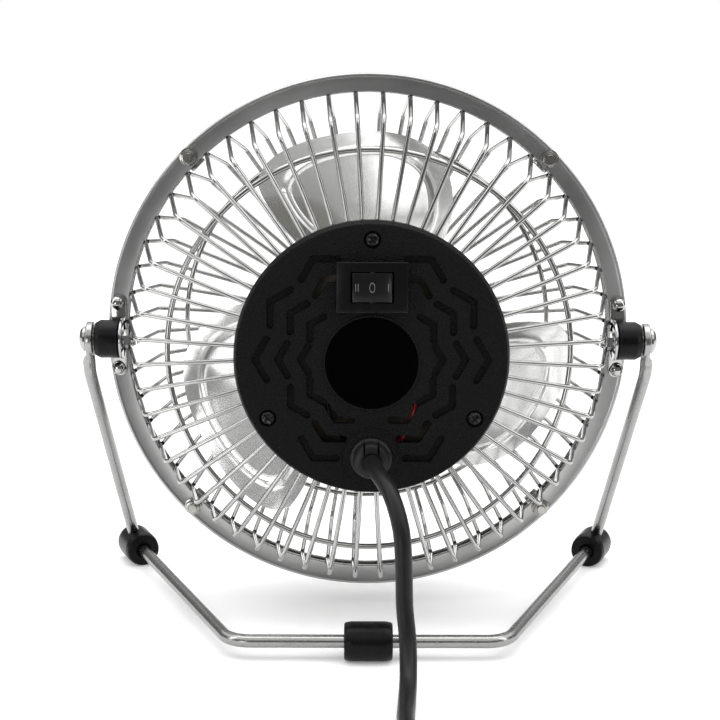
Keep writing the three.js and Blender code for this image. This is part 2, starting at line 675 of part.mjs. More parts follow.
// A rubber foot with rounded ends, lying along the given direction in the floor plane.
const rodClearance = solid(tube(rodPoints, rodRadius + gap, 10));
const floorCut = solid(box(-200, 200, -200, 200, -20, 0));
function addFoot(name, centre, direction) {
  const half = footLength / 2;
  const foot = turned([
    [0, -half], [footRadius - 1.6, -half], [footRadius - 0.5, -half + 0.5], [footRadius, -half + 1.6],
    [footRadius, half - 1.6], [footRadius - 0.5, half - 0.5], [footRadius - 1.6, half], [0, half],
  ], 24);
  foot.rotateZ(Math.atan2(-direction.x, direction.y)).translate(centre.x, centre.y, centre.z);
  addPart(name, solid(foot).subtract(join([rodClearance, floorCut])), 'rubber');
}

const run = corner.clone().sub(heel).normalize();
const sideFoot = heel.clone().addScaledVector(run, footAlongBase);
addFoot('foot_left', sideFoot, run);
addFoot('foot_right', mirror(sideFoot), mirror(run));
addFoot('foot_rear', new THREE.Vector3(0, corner.y, footCentre), new THREE.Vector3(1, 0, 0));

// ---------------------------------------------------------------- cord, coil and plug
// The cord hangs from the gland, lands behind the stand and runs back to a tied coil.
const glandX = coverShiftX;
const glandZ = headHeight + coverShiftZ - glandDrop;
const cordRoute = [
  [glandX, cordOut + 0.15, glandZ], [glandX - 1.4, cordOut + 7.65, glandZ - 0.8],
  [-6, cordOut + 17.15, glandZ - 5], [-8.8, cordOut + 23.65, glandZ - 13.5],
  [-9.6, cordOut + 25.15, glandZ - 24], [-9.9, 68.5, glandZ - 35], [-10.8, 71, 14.5], [-10.8, 78, 6.2],
  [-10, 89, 2.8], [-9.5, 102, 2.6], [-12.5, 116, 2.6], [-22, 128, 2.6], [-29, 141, 2.6], [-31.8, 156, 2.6],
].map(([x, y, z]) => new THREE.Vector3(x, y, z));
const cordCurve = new THREE.CatmullRomCurve3(cordRoute, false, 'centripetal');
addPart('power_cord', solid(tube(cordCurve.getSpacedPoints(18), cordRadius, 8)), 'rubber');

// Two layers of turns, drawn as one ring with a gap for the tie.
const coilMiddle = 26;
const coilHalfWidth = 9;
const coilHeight = 10.4;
const coilEdge = 1.8;
const coilCentre = { x: 6, y: 162 };
const coilOutside = coilMiddle + coilHalfWidth;
const coilInside = coilMiddle - coilHalfWidth;
const coilRing = turned([
  [coilInside, -coilHeight + coilEdge], [coilInside + coilEdge, -coilHeight],
  [coilOutside - coilEdge, -coilHeight], [coilOutside, -coilHeight + coilEdge],
  [coilOutside, -coilEdge], [coilOutside - coilEdge, 0], [coilInside + coilEdge, 0], [coilInside, -coilEdge],
], 32);
coilRing.rotateX(Math.PI / 2).translate(coilCentre.x, coilCentre.y, coilHeight);
const tieHalf = 2.7;
const tieY = coilCentre.y + coilMiddle;
const tieReach = coilHalfWidth + 0.9;
const tieGapHalf = tieHalf + gap;
const tieGap = box(
  coilCentre.x - tieGapHalf, coilCentre.x + tieGapHalf, tieY - tieReach - 1, tieY + tieReach + 1, -1, 20,
);
addPart('cord_coil', solid(coilRing).subtract(solid(tieGap)), 'rubber');
addPart('coil_tie', solid(box(
  coilCentre.x - tieHalf, coilCentre.x + tieHalf, tieY - tieReach, tieY + tieReach, 0, coilHeight + 0.6,
)), 'black');

// The plug lies beside the coil, pointing toward the fan.
const plugHalfWidth = 7.5;
const plugBodyLength = 24;
const plugBodyHeight = 7.8;
const shellHalfWidth = 6;
const shellLength = 12;
const shellHeight = 4.5;
const shellWall = 0.4;
const plugX = coilCentre.x + coilOutside + plugHalfWidth + 1;
const neckY = coilCentre.y - 9.5;
const plugRoute = [[-2.9, 22, 2.6], [-1.2, 15, 2.8], [-0.3, 8, 3.4], [0, gap, plugBodyHeight / 2]];
const plugLead = plugRoute.map(([x, y, z]) => new THREE.Vector3(plugX + x, neckY + y, z));
addPart('plug_lead', solid(tube(plugLead, cordRadius, 8)), 'rubber');
const plugBodyFront = neckY - plugBodyLength;
const plugBody = box(plugX - plugHalfWidth, plugX + plugHalfWidth, plugBodyFront, neckY, 0, plugBodyHeight);
addPart('usb_plug_body', solid(plugBody), 'rubber');
const shellBack = plugBodyFront - gap;
const shellLow = (plugBodyHeight - shellHeight) / 2;
const shell = solid(box(
  plugX - shellHalfWidth, plugX + shellHalfWidth, shellBack - shellLength, shellBack,
  shellLow, shellLow + shellHeight,
));
const mouth = solid(box(
  plugX - shellHalfWidth + shellWall, plugX + shellHalfWidth - shellWall,
  shellBack - shellLength - 1, shellBack - shellLength + 9,
  shellLow + shellWall, shellLow + shellHeight - shellWall,
));
addPart('usb_plug_shell', shell.subtract(mouth), 'steel');

export default group;
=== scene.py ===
import math

import bmesh
import bpy
from mathutils import Matrix, Vector


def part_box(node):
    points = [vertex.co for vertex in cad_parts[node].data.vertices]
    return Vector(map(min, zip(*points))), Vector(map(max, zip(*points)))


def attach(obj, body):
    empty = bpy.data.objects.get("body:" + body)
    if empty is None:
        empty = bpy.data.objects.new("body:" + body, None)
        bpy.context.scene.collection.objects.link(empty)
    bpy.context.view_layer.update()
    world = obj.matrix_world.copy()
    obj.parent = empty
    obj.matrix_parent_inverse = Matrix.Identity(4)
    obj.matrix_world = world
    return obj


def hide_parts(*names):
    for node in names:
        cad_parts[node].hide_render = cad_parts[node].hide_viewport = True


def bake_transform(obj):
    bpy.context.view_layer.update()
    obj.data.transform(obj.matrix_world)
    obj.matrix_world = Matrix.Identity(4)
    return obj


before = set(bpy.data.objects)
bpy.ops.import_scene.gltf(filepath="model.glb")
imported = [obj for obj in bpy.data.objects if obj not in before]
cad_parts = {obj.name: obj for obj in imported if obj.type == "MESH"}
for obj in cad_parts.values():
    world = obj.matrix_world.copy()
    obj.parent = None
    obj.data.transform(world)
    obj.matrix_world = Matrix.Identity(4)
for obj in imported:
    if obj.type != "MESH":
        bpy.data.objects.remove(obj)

bl_info = {
    "name": "Desk fan",
    "version": (1, 0, 0),
    "blender": (4, 5, 0),
    "location": "View3D > Sidebar > Desk fan",
    "description": "Builds a small metal desk fan, piece by piece, on its packed frame",
    "category": "Add Mesh",
}

MM = 0.001
WELD = 1e-7
FULL_TURN = 2 * math.pi
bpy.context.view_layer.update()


def middle(node):
    """The middle of a node's box."""
    low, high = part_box(node)
    return (low + high) / 2


# Places that the frame gives, in metres, and the rim's own sizes, in millimetres.
RIM_LOW, RIM_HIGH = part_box("outer_rim")
AXIS_HEIGHT = middle("outer_rim").z
RIM_REAR = RIM_HIGH.y
HEAD = Vector((0, RIM_REAR, AXIS_HEIGHT))
REARWARD = Vector((0, 1, 0))
RIM_RADIUS = (RIM_HIGH.x - RIM_LOW.x) / 2 / MM
RIM_DEPTH = (RIM_HIGH.y - RIM_LOW.y) / MM
COVER_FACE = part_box("label_disc")[1].y - 0.2 * MM
COVER = Vector((middle("rear_cover").x, RIM_REAR, middle("rear_cover").z))
PIVOT = Vector((0, middle("pivot_bushing_left").y, middle("pivot_bushing_left").z))
GLAND = middle("cord_gland")


def along_head(point_y):
    """How far behind the rim's rear face a place is, in millimetres."""
    return (point_y - RIM_REAR) / MM


COVER_ALONG = along_head(COVER_FACE)


# ------------------------------------------------------------------ settings
class DeskFanSizes(bpy.types.PropertyGroup):
    """Sizes of the fan's fine detail."""

    wire_radius: bpy.props.FloatProperty(
        name="Guard wire radius", description="Radius of each radial guard wire, in millimetres",
        default=0.72, min=0.4, max=1.2)
    ring_radius: bpy.props.FloatProperty(
        name="Guard ring radius",
        description="Radius of the wire in each guard's middle ring, in millimetres",
        default=0.88, min=0.5, max=1.4)
    bend_round: bpy.props.FloatProperty(
        name="Wire bend", description="Inside rounding where a guard wire turns inward, in millimetres",
        default=3.2, min=1.0, max=8.0)
    wire_count: bpy.props.IntProperty(
        name="Wires in each guard", description="Number of radial wires in each guard",
        default=56, min=12, max=90)
    blade_camber: bpy.props.FloatProperty(
        name="Blade camber", description="How far each blade is dished, in millimetres",
        default=3.0, min=0.0, max=6.0)
    rib_height: bpy.props.FloatProperty(
        name="Blade rib", description="Height of the rib pressed round each blade, in millimetres",
        default=1.25, min=0.0, max=2.0)
    slot_depth: bpy.props.FloatProperty(
        name="Cover slot depth", description="Depth of the cover's blind slots, in millimetres",
        default=0.8, min=0.2, max=1.6)
    cord_radius: bpy.props.FloatProperty(
        name="Cord radius", description="Radius of the cord, in metres", unit="LENGTH",
        default=0.0025, min=0.0015, max=0.004)


def colour_property(name, description, default):
    """A colour setting shown with a colour picker."""
    return bpy.props.FloatVectorProperty(
        name=name, description=description, subtype="COLOR", size=3, min=0, max=1, default=default)


class DeskFanColours(bpy.types.PropertyGroup):
    """Colours of the fan's finishes."""

    chrome: colour_property("Chrome", "Chrome of the wires, rod and fittings", (0.40, 0.40, 0.392))
    rim: colour_property("Rim", "Satin chrome of the rim", (0.40, 0.403, 0.398))
    aluminium: colour_property("Blades", "Polished aluminium of the blades", (0.86, 0.86, 0.85))
    steel: colour_property("Steel", "Plated steel of the motor, screws and nuts", (0.40, 0.39, 0.365))
    plastic: colour_property("Cover", "Grained black plastic of the rear cover", (0.0022, 0.0022, 0.0024))
    gloss: colour_property("Gloss black", "Smooth black plastic", (0.0018, 0.0018, 0.002))
    rubber: colour_property("Rubber", "Rubber of the feet and bushings", (0.0035, 0.0035, 0.0037))
    cord: colour_property("Cord", "Jacket of the cord and plug", (0.006, 0.006, 0.0065))
    legend: colour_property("Legends", "Print on the switch", (0.2, 0.2, 0.195))
    red_lead: colour_property("Red lead", "Insulation of the red inner lead", (0.5, 0.012, 0.015))
    # The plate's khaki tint is its own colour, but both plate colours are darkened as painted shade, so the
    # slots read dark as if the head's inside were in shade.
    plate: colour_property("Plate", "Plate behind the cover", (0.165, 0.15, 0.11))
    plate_mottle_and_shade: colour_property("Plate stain", "Darker mottling of the plate", (0.065, 0.061, 0.05))
    blackening: colour_property("Blackening", "Blackened skin of the cover's screws", (0.012, 0.012, 0.013))
    floor: colour_property("Floor", "The plain pale floor", (0.86, 0.86, 0.86))


# ------------------------------------------------------------------ shader building
class Socket:
    """A shader value that takes part in plain arithmetic."""

    def __init__(self, shader, link):
        self.shader = shader
        self.link = link

    def maths(self, operation, first, second):
        return self.shader.add("ShaderNodeMath", {"operation": operation}, {0: first, 1: second})

    def __add__(self, other):
        return self.maths("ADD", self, other)

    def __radd__(self, other):
        return self.maths("ADD", other, self)

    def __sub__(self, other):
        return self.maths("SUBTRACT", self, other)

    def __rsub__(self, other):
        return self.maths("SUBTRACT", other, self)

    def __mul__(self, other):
        return self.maths("MULTIPLY", self, other)

    def __rmul__(self, other):
        return self.maths("MULTIPLY", other, self)


class Shader:
    """One material, or the world, and the nodes that make it."""

    def __init__(self, name, world=False):
        self.material = (bpy.data.worlds if world else bpy.data.materials).new(name)
        self.material.use_nodes = True
        self.tree = self.material.node_tree
        end = "OUTPUT_WORLD" if world else "BSDF_PRINCIPLED"
        self.surface = next(n for n in self.tree.nodes if n.type == end)

    def add(self, kind, settings=None, inputs=None, output=0):
        """A node with its settings made first and then its sockets filled or linked."""
        node = self.tree.nodes.new(kind)
        for key, value in (settings or {}).items():
            if key == "ramp":
                self.set_ramp(node.color_ramp, value)
            else:
                setattr(node, key, value)
        for key, value in (inputs or {}).items():
            self.feed(node.inputs[key], value)
        return Socket(self, node.outputs[output])

    @staticmethod
    def set_ramp(ramp, stops):
        while len(ramp.elements) < len(stops):
            ramp.elements.new(1.0)
        for element, (place, grey) in zip(ramp.elements, stops):
            element.position = place
            element.color = (grey, grey, grey, 1)

    def feed(self, socket, value):
        if isinstance(value, Socket):
            self.tree.links.new(value.link, socket)
        else:
            socket.default_value = value

    def constant(self, **values):
        """Sets the shader's own sockets; names use _ for spaces."""
        for key, value in values.items():
            self.surface.inputs[key.replace("_", " ")].default_value = value

    def vary(self, name, value):
        self.feed(self.surface.inputs[name], value)

    def place(self, scale=(1000, 1000, 1000), centre=(0, 0, 0), turn=(0, 0, 0)):
        """Object coordinates in millimetres, or stretched by another scale."""
        coordinates = self.add("ShaderNodeTexCoord", output="Object")
        minus = {"operation": "SUBTRACT"}
        moved = self.add("ShaderNodeVectorMath", minus, {0: coordinates, 1: tuple(centre)})
        inputs = {"Vector": moved, "Rotation": turn, "Scale": scale}
        return self.add("ShaderNodeMapping", {"vector_type": "POINT"}, inputs)

    def noise(self, place, scale, detail=3.0, roughness=0.5):
        inputs = {"Vector": place, "Scale": scale, "Detail": detail, "Roughness": roughness}
        return self.add("ShaderNodeTexNoise", {}, inputs)

    def cells(self, place, scale, feature="F1"):
        return self.add("ShaderNodeTexVoronoi", {"feature": feature}, {"Vector": place, "Scale": scale})

    def part(self, vector, axis):
        """One part of a vector."""
        return self.add("ShaderNodeSeparateXYZ", {}, {0: vector}, output=axis)

    def ramp(self, value, *stops):
        return self.add("ShaderNodeValToRGB", {"ramp": stops}, {"Fac": value})

    def blend(self, factor, first, second):
        """A colour between two colours."""
        inputs = {"Factor": factor, 6: colour4(first), 7: colour4(second)}
        return self.add("ShaderNodeMix", {"data_type": "RGBA"}, inputs, output=2)

    def bump(self, height, strength, distance):
        inputs = {"Height": height, "Strength": strength, "Distance": distance}
        self.vary("Normal", self.add("ShaderNodeBump", {}, inputs))


def colour4(colour):
    """A colour as a shader socket wants it."""
    if isinstance(colour, Socket):
        return colour
    return (*tuple(colour)[:3], 1)


def scaled(colour, factor):
    """The same colour made lighter or darker."""
    return tuple(min(1.0, c * factor) for c in tuple(colour)[:3])


# ------------------------------------------------------------------ finishes
def chrome_finish(colours, name="bright_chrome", tone=1.0, low=0.09):
    """Bright plated wire and rod with faint drawing marks and a few dull spots."""
    shader = Shader(name)
    shader.constant(Metallic=1.0)
    place = shader.place()
    cloud = shader.noise(place, 0.09, 4)
    spots = shader.ramp(shader.noise(place, 0.9, 5, 0.65), (0.56, 0), (0.72, 1))
    dull = shader.ramp(cloud, (0.45, 0), (0.75, 1))
    shader.vary("Base Color", shader.blend(
        spots * 0.5 + dull * 0.25, scaled(colours.chrome, tone), scaled(colours.chrome, 0.62 * tone)))
    shader.vary("Roughness", low + dull * 0.1 + spots * 0.16)
    shader.bump(shader.noise(place, 1.4, 3) + shader.noise(place, 7.0, 2) * 0.15, 0.12, 0.0001)
    return shader.material


def rim_finish(colours):
    """Satin chrome sheet: rolling lines that follow the ring, pits and cloudy patches."""
    shader = Shader("satin_rim")
    shader.constant(Metallic=1.0)
    place = shader.place(centre=HEAD)
    cloud = shader.noise(place, 0.035, 3)
    grain = shader.noise(place, 2.6, 6, 0.7)
    pits = shader.ramp(shader.cells(place, 0.8), (0.03, 1), (0.1, 0))
    shade = shader.ramp(cloud, (0.38, 0), (0.66, 1))
    tone = shader.blend(shade, scaled(colours.rim, 0.92), scaled(colours.rim, 1.14))
    shader.vary("Base Color", shader.blend(pits * 0.45, tone, scaled(colours.rim, 0.3)))
    shader.vary("Roughness", 0.24 + shade * 0.04 + grain * 0.1 + pits * 0.2)
    shader.bump(grain * 0.6 - pits, 0.2, 0.0001)
    return shader.material


def aluminium_finish(colours):
    """Polished blade sheet with long faint streaks and a few scuffs."""
    shader = Shader("polished_aluminium")
    shader.constant(Metallic=0.75)
    place = shader.place(centre=HEAD)
    streak = shader.noise(shader.place(scale=(60, 60, 1400), centre=HEAD), 1.0, 4, 0.6)
    cloud = shader.noise(place, 0.05, 3)
    scuff = shader.ramp(shader.noise(place, 0.5, 6, 0.7), (0.6, 0), (0.7, 1))
    shader.vary("Base Color", shader.blend(
        cloud * 0.35 + scuff * 0.1, scaled(colours.aluminium, 1.08), scaled(colours.aluminium, 0.86)))
    shader.vary("Roughness", 0.17 + streak * 0.07 + scuff * 0.05)
    shader.bump(streak * 0.15 + cloud * 3.0, 0.05, 0.0003)
    return shader.material


def steel_finish(colours):
    """Zinc-plated steel, slightly yellow, with a crystalline bloom."""
    shader = Shader("plated_steel")
    shader.constant(Metallic=1.0)
    place = shader.place()
    bloom = shader.cells(place, 0.9)
    grain = shader.noise(place, 1.8, 4)
    shader.vary("Base Color", shader.blend(bloom * 0.8, colours.steel, scaled(colours.steel, 0.66)))
    shader.vary("Roughness", 0.13 + grain * 0.14)
    shader.bump(grain + bloom * 0.4, 0.14, 0.0001)
    return shader.material


def cover_finish(colours):
    """Black plastic with an etched grain."""
    shader = Shader("grained_black_plastic")
    shader.constant(Specular_IOR_Level=0.1)
    place = shader.place()
    grain = shader.cells(place, 2.3, "SMOOTH_F1")
    fine = shader.noise(place, 4.5, 2)
    cloud = shader.noise(place, 0.06, 3)
    dust = shader.ramp(shader.noise(place, 3.1, 6, 0.75), (0.6, 0), (0.75, 1))
    shader.vary("Base Color", shader.blend(
        dust * 0.1 + cloud * 0.25, colours.plastic, scaled(colours.plastic, 2.4)))
    shader.vary("Roughness", 0.4 + cloud * 0.08 + fine * 0.08)
    shader.bump(grain + fine * 0.5, 1.0, 0.0004)
    return shader.material


def gloss_finish(colours, name="smooth_black_plastic", low=0.16, shine=0.2, tone=1.0):
    """Smooth black plastic with faint handling marks."""
    shader = Shader(name)
    shader.constant(Specular_IOR_Level=shine)
    place = shader.place()
    smear = shader.noise(place, 0.12, 4, 0.6)
    fine = shader.noise(place, 2.2, 3)
    shader.vary("Base Color", shader.blend(
        smear, scaled(colours.gloss, tone), scaled(colours.gloss, 2.2 * tone)))
    shader.vary("Roughness", low + smear * 0.12 + fine * 0.04)
    shader.bump(fine + smear, 0.05, 0.0001)
    return shader.material


def rubber_finish(colours):
    """Matt rubber with a fine skin and paler rubbed patches."""
    shader = Shader("black_rubber")
    shader.constant(Specular_IOR_Level=0.12)
    place = shader.place()
    skin = shader.noise(place, 3.2, 5, 0.6)
    rubbed = shader.ramp(shader.noise(place, 0.22, 5, 0.6), (0.5, 0), (0.8, 1))
    shader.vary("Base Color", shader.blend(rubbed * 0.7, colours.rubber, scaled(colours.rubber, 2.6)))
    shader.vary("Roughness", 0.22 + skin * 0.12 + rubbed * 0.1)
    shader.bump(skin, 0.22, 0.00012)
    return shader.material


def cord_finish(colours):
    """Soft cord jacket with a slight ripple."""
    shader = Shader("cord_jacket")
    shader.constant(Specular_IOR_Level=0.2)
    place = shader.place()
    ripple = shader.noise(place, 0.35, 3)
    skin = shader.noise(place, 3.5, 4, 0.6)
    shader.vary("Base Color", shader.blend(ripple, colours.cord, scaled(colours.cord, 1.9)))
    shader.vary("Roughness", 0.3 + skin * 0.14)
    shader.bump(ripple * 1.5 + skin * 0.3, 0.16, 0.00015)
    return shader.material


def plate_finish(colours):
    """Dull yellowish plate, mottled, deep inside the head; its colours are darkened as painted shade behind
    the cover's slots.
    """
    shader = Shader("dull_plate_painted_shade")
    shader.constant(Metallic=0.7, Specular_IOR_Level=0.3)
    place = shader.place()
    mottle = shader.noise(place, 0.35, 5, 0.7)
    shader.vary("Base Color", shader.blend(mottle, colours.plate, colours.plate_mottle_and_shade))
    shader.vary("Roughness", 0.42 + mottle * 0.2)
    shader.bump(mottle, 0.2, 0.0002)
    return shader.material


def dark_screw_finish(colours):
    """Blackened steel, worn brighter in patches."""
    shader = Shader("blackened_steel")
    shader.constant(Metallic=0.85)
    place = shader.place()
    worn = shader.ramp(shader.noise(place, 1.1, 5, 0.6), (0.5, 0), (0.68, 1))
    shader.vary("Base Color", shader.blend(worn, colours.blackening, scaled(colours.steel, 0.22)))
    shader.vary("Roughness", 0.3 + worn * 0.12)
    shader.bump(shader.noise(place, 3.0, 3), 0.15, 0.0001)
    return shader.material


def lead_finish(name, colour):
    """Thin smooth wire insulation."""
    shader = Shader(name)
    place = shader.place()
    tint = shader.noise(place, 0.5, 3)
    shader.vary("Base Color", shader.blend(tint, colour, scaled(colour, 0.6)))
    shader.vary("Roughness", 0.28 + tint * 0.15)
    shader.bump(tint, 0.1, 0.0001)
    return shader.material


def legend_finish(colours):
    """Pad-printed legends, a little thin in places."""
    shader = Shader("printed_legend")
    place = shader.place()
    thin = shader.noise(place, 3.0, 4, 0.7)
    shader.vary("Base Color", shader.blend(thin, colours.legend, scaled(colours.legend, 0.55)))
    shader.vary("Roughness", 0.4 + thin * 0.2)
    return shader.material


def floor_finish(colours):
    """Plain pale floor."""
    shader = Shader("pale_floor")
    shader.constant(Roughness=0.9, Specular_IOR_Level=0.1, Emission_Strength=0.2)
    shader.constant(Emission_Color=(1, 1, 1, 1))
    place = shader.place()
    drift = shader.noise(place, 0.004, 2)
    shader.vary("Base Color", shader.blend(drift, colours.floor, scaled(colours.floor, 0.985)))
    return shader.material


FINISH_MAKERS = {
    "chrome": chrome_finish,
    "rod": lambda colours: chrome_finish(colours, "satin_rod", 0.78, 0.2),
    "rim": rim_finish,
    "aluminium": aluminium_finish,
    "steel": steel_finish,
    "cover": cover_finish,
    "gloss": gloss_finish,
    "label": lambda colours: gloss_finish(colours, "label_black", 0.3, 0.01, 0.2),
    "rocker": lambda colours: gloss_finish(colours, "satin_black_rocker", 0.22, 0.3),
    "rubber": rubber_finish,
    "cord": cord_finish,
    "plate": plate_finish,
    "dark_screw": dark_screw_finish,
    "legend": legend_finish,
    "floor": floor_finish,
    "red_lead": lambda colours: lead_finish("red_lead_insulation", colours.red_lead),
    "black_lead": lambda colours: lead_finish("black_lead_insulation", colours.cord),
}
finishes = {}


def finish(name):
    """The named finish, made once."""
    if name not in finishes:
        finishes[name] = FINISH_MAKERS[name](bpy.context.scene.desk_fan_colours)
    return finishes[name]


# ------------------------------------------------------------------ shape building
def piece(name, bm, finish_name, body, nodes=(), sharp=32, recalculate=True):
    """Makes the finished piece from a bmesh, on its body, in place of its CAD nodes."""
    bmesh.ops.remove_doubles(bm, verts=bm.verts, dist=WELD)
    if recalculate:
        bmesh.ops.recalc_face_normals(bm, faces=bm.faces)
    mesh = bpy.data.meshes.new(name)
    bm.to_mesh(mesh)
    bm.free()
    mesh.shade_smooth()
    mesh.set_sharp_from_angle(angle=math.radians(sharp))
    mesh.materials.append(finish(finish_name))
    made = bpy.data.objects.new(name, mesh)
    bpy.context.scene.collection.objects.link(made)
    if body:
        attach(made, body)
    if nodes:
        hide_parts(*nodes)
    return made


def head_place(radius, degrees, along, centre=HEAD):
    """A place on the head: distance from a centre, turn from straight up, distance behind the rim."""
    angle = math.radians(degrees)
    return centre + Vector((radius * math.sin(angle), along, radius * math.cos(angle))) * MM


def rounded(corners, radii, steps=5):
    """A path of straight runs whose inner corners are short arcs."""
    points = [corners[0].copy()]
    for before, here, after, radius in zip(corners, corners[1:], corners[2:], radii):
        into = (before - here).normalized()
        out = (after - here).normalized()
        half = into.angle(out) / 2
        centre = here + (into + out).normalized() * (radius / math.sin(half))
        start = (here + into * (radius / math.tan(half)) - centre).normalized()
        end = (here + out * (radius / math.tan(half)) - centre).normalized()
        points += [centre + start.slerp(end, k / steps) * radius for k in range(steps + 1)]
    points.append(corners[-1].copy())
    return points


def softened(profile, radius, steps=4):
    """A [radius, along] outline with its inner corners rounded."""
    corners = [Vector((r, a, 0)) for r, a in profile]
    points = rounded(corners, [radius] * (len(corners) - 2), steps)
    return [(p.x, p.y) for p in points]


def directions(path):
    """The way the path runs at each of its points."""
    runs = [(b - a).normalized() for a, b in zip(path, path[1:])]
    return [runs[0], *[(a + b).normalized() for a, b in zip(runs, runs[1:])], runs[-1]]


def corners_of(made):
    """The vertices among what an operator made."""
    return [g for g in made if isinstance(g, bmesh.types.BMVert)]


def edges_of(corners):
    """Every edge that meets one of the vertices, each once and always in the same order."""
    return list(dict.fromkeys(e for v in corners for e in v.link_edges))


def next_ring(bm, edges):
    """Extrudes a ring of edges once and gives the new ring's vertices and edges."""
    made = bmesh.ops.extrude_edge_only(bm, edges=edges)["geom"]
    ring = corners_of(made)
    return ring, [g for g in made if isinstance(g, bmesh.types.BMEdge) and all(v in ring for v in g.verts)]


def facing(axis):
    """The turn that brings the Z axis onto another one."""
    return Vector(axis).normalized().to_track_quat("Z", "Y").to_matrix().to_4x4()


def round_edges(bm, edges, width, segments):
    bmesh.ops.bevel(
        bm, geom=edges, offset=width, segments=segments, profile=0.5, affect="EDGES", material=-1)


def swept(bm, path, radius, sides=12):
    """Extrudes a circle along a path."""
    ways = directions(path)
    turn = ways[0].to_track_quat("Z", "Y")
    place = Matrix.Translation(path[0]) @ turn.to_matrix().to_4x4()
    ring = bmesh.ops.create_circle(bm, cap_ends=True, radius=radius, segments=sides, matrix=place)["verts"]
    edges = edges_of(ring)
    for k in range(1, len(path)):
        turn = ways[k - 1].rotation_difference(ways[k]) @ turn
        next_place = Matrix.Translation(path[k]) @ turn.to_matrix().to_4x4()
        ring, edges = next_ring(bm, edges)
        bmesh.ops.transform(bm, matrix=next_place @ place.inverted(), verts=ring)
        place = next_place
    bmesh.ops.contextual_create(bm, geom=edges)


def turned(bm, profile, centre, axis=REARWARD, steps=64, closed=False):
    """Spins a [radius, along] outline, in millimetres, about an axis through centre."""
    axis = Vector(axis).normalized()
    out = axis.orthogonal().normalized()
    corners = [bm.verts.new(Vector(centre) + (out * r + axis * a) * MM) for r, a in profile]
    edges = [bm.edges.new(pair) for pair in zip(corners, corners[1:])]
    if closed:
        edges.append(bm.edges.new((corners[-1], corners[0])))
    bmesh.ops.spin(
        bm, geom=corners + edges, cent=centre, axis=axis, angle=FULL_TURN, steps=steps, use_merge=True)
    bmesh.ops.remove_doubles(bm, verts=bm.verts, dist=WELD)


def ring_round(radius, along, thickness, sides=12):
    """The closed outline of a round wire bent into a ring."""
    angles = [FULL_TURN * k / sides for k in range(sides)]
    return [(radius + thickness * math.cos(a), along + thickness * math.sin(a)) for a in angles]


def block(bm, low, high, bevel=0.0, segments=3):
    """A box between two corners with rounded edges, in metres."""
    low, high = Vector(low), Vector(high)
    made = bmesh.ops.create_cube(bm, size=1)["verts"]
    bmesh.ops.scale(bm, vec=high - low, verts=made)
    bmesh.ops.translate(bm, vec=(low + high) / 2, verts=made)
    if bevel:
        round_edges(bm, edges_of(made), bevel, segments)


def hexagon(bm, centre, axis, across, low, high, bore):
    """A hex nut with chamfered corners and a bore, between two distances along its axis."""
    axis = Vector(axis).normalized()
    place = Matrix.Translation(Vector(centre) + axis * low * MM) @ facing(axis)
    face = bmesh.ops.create_circle(bm, cap_ends=True, radius=across * MM, segments=6, matrix=place)["verts"]
    made = bmesh.ops.extrude_face_region(bm, geom=list(face[0].link_faces))["geom"]
    top = corners_of(made)
    bmesh.ops.translate(bm, vec=axis * (high - low) * MM, verts=top)
    round_edges(bm, [e for e in edges_of(top) if all(v in top for v in e.verts)], 0.28 * MM, 2)
    lip = high + 0.12
    outline = softened([(bore, low - 0.01), (bore, lip), (bore + 0.45, lip), (bore + 0.5, high)], 0.1, 2)
    turned(bm, outline, centre, axis, 24)


def carved(bm, cutter):
    """What is left of bm once the cutter's closed shapes are taken out of it."""
    pair = []
    for source in (bm, cutter):
        bmesh.ops.recalc_face_normals(source, faces=source.faces)
        mesh = bpy.data.meshes.new("rough")
        source.to_mesh(mesh)
        source.free()
        rough = bpy.data.objects.new("rough", mesh)
        bpy.context.scene.collection.objects.link(rough)
        pair.append(rough)
    blank, tool = pair
    cut = blank.modifiers.new("cut", "BOOLEAN")
    cut.object = tool
    cut.operation = "DIFFERENCE"
    cut.solver = "EXACT"
    cut.use_self = True
    result = bmesh.new()
    result.from_object(blank, bpy.context.evaluated_depsgraph_get())
    for rough in pair:
        mesh = rough.data
        bpy.data.objects.remove(rough)
        bpy.data.meshes.remove(mesh)
    return result


def cross_screw(centre, axis, head_radius, rise, shank_radius, shank_length):
    """A domed screw with a cross recess; centre is under its head."""
    bm = bmesh.new()
    outline = [(0, -shank_length), (shank_radius, -shank_length), (shank_radius, 0), (head_radius, 0),
               (head_radius, rise * 0.3), (head_radius * 0.8, rise * 0.72), (head_radius * 0.42, rise * 0.95),
               (0, rise)]
    turned(bm, outline, centre, axis, 32)
    cutter = bmesh.new()
    axis = Vector(axis).normalized()
    for quarter in (0, math.pi / 2):
        arm = bmesh.ops.create_cube(cutter, size=1)["verts"]
        shape = (Matrix.Translation(Vector(centre) + axis * rise * MM) @ facing(axis)
                 @ Matrix.Rotation(quarter + math.pi / 4, 4, "Z")
                 @ Matrix.Diagonal((head_radius * 1.25 * MM, head_radius * 0.26 * MM, rise * 1.1 * MM, 1)))
        bmesh.ops.transform(cutter, matrix=shape, verts=arm)
    return carved(bm, cutter)


# ------------------------------------------------------------------ stage and camera
CAMERA_PLACE = Vector((0.0063, 0.4909, 0.1732))
CAMERA_YAW = 0.44
CAMERA_DROP = 10.59
CAMERA_ROLL = 0.31
CAMERA_LENS = 78.5
FLOOR_EDGE = 0.262
FLOOR_WIDTH = 18
FLOOR_LENGTH = 9.4
FLOOR_DROP = 0.00005


class DESK_FAN_OT_stage(bpy.types.Operator):
    """Adds the camera, the pale floor and the soft lights"""

    bl_idname = "desk_fan.stage"
    bl_label = "Stage"

    def execute(self, context):
        add_camera(context)
        add_floor(context)
        add_lights(context)
        add_surroundings(context)
        return {"FINISHED"}


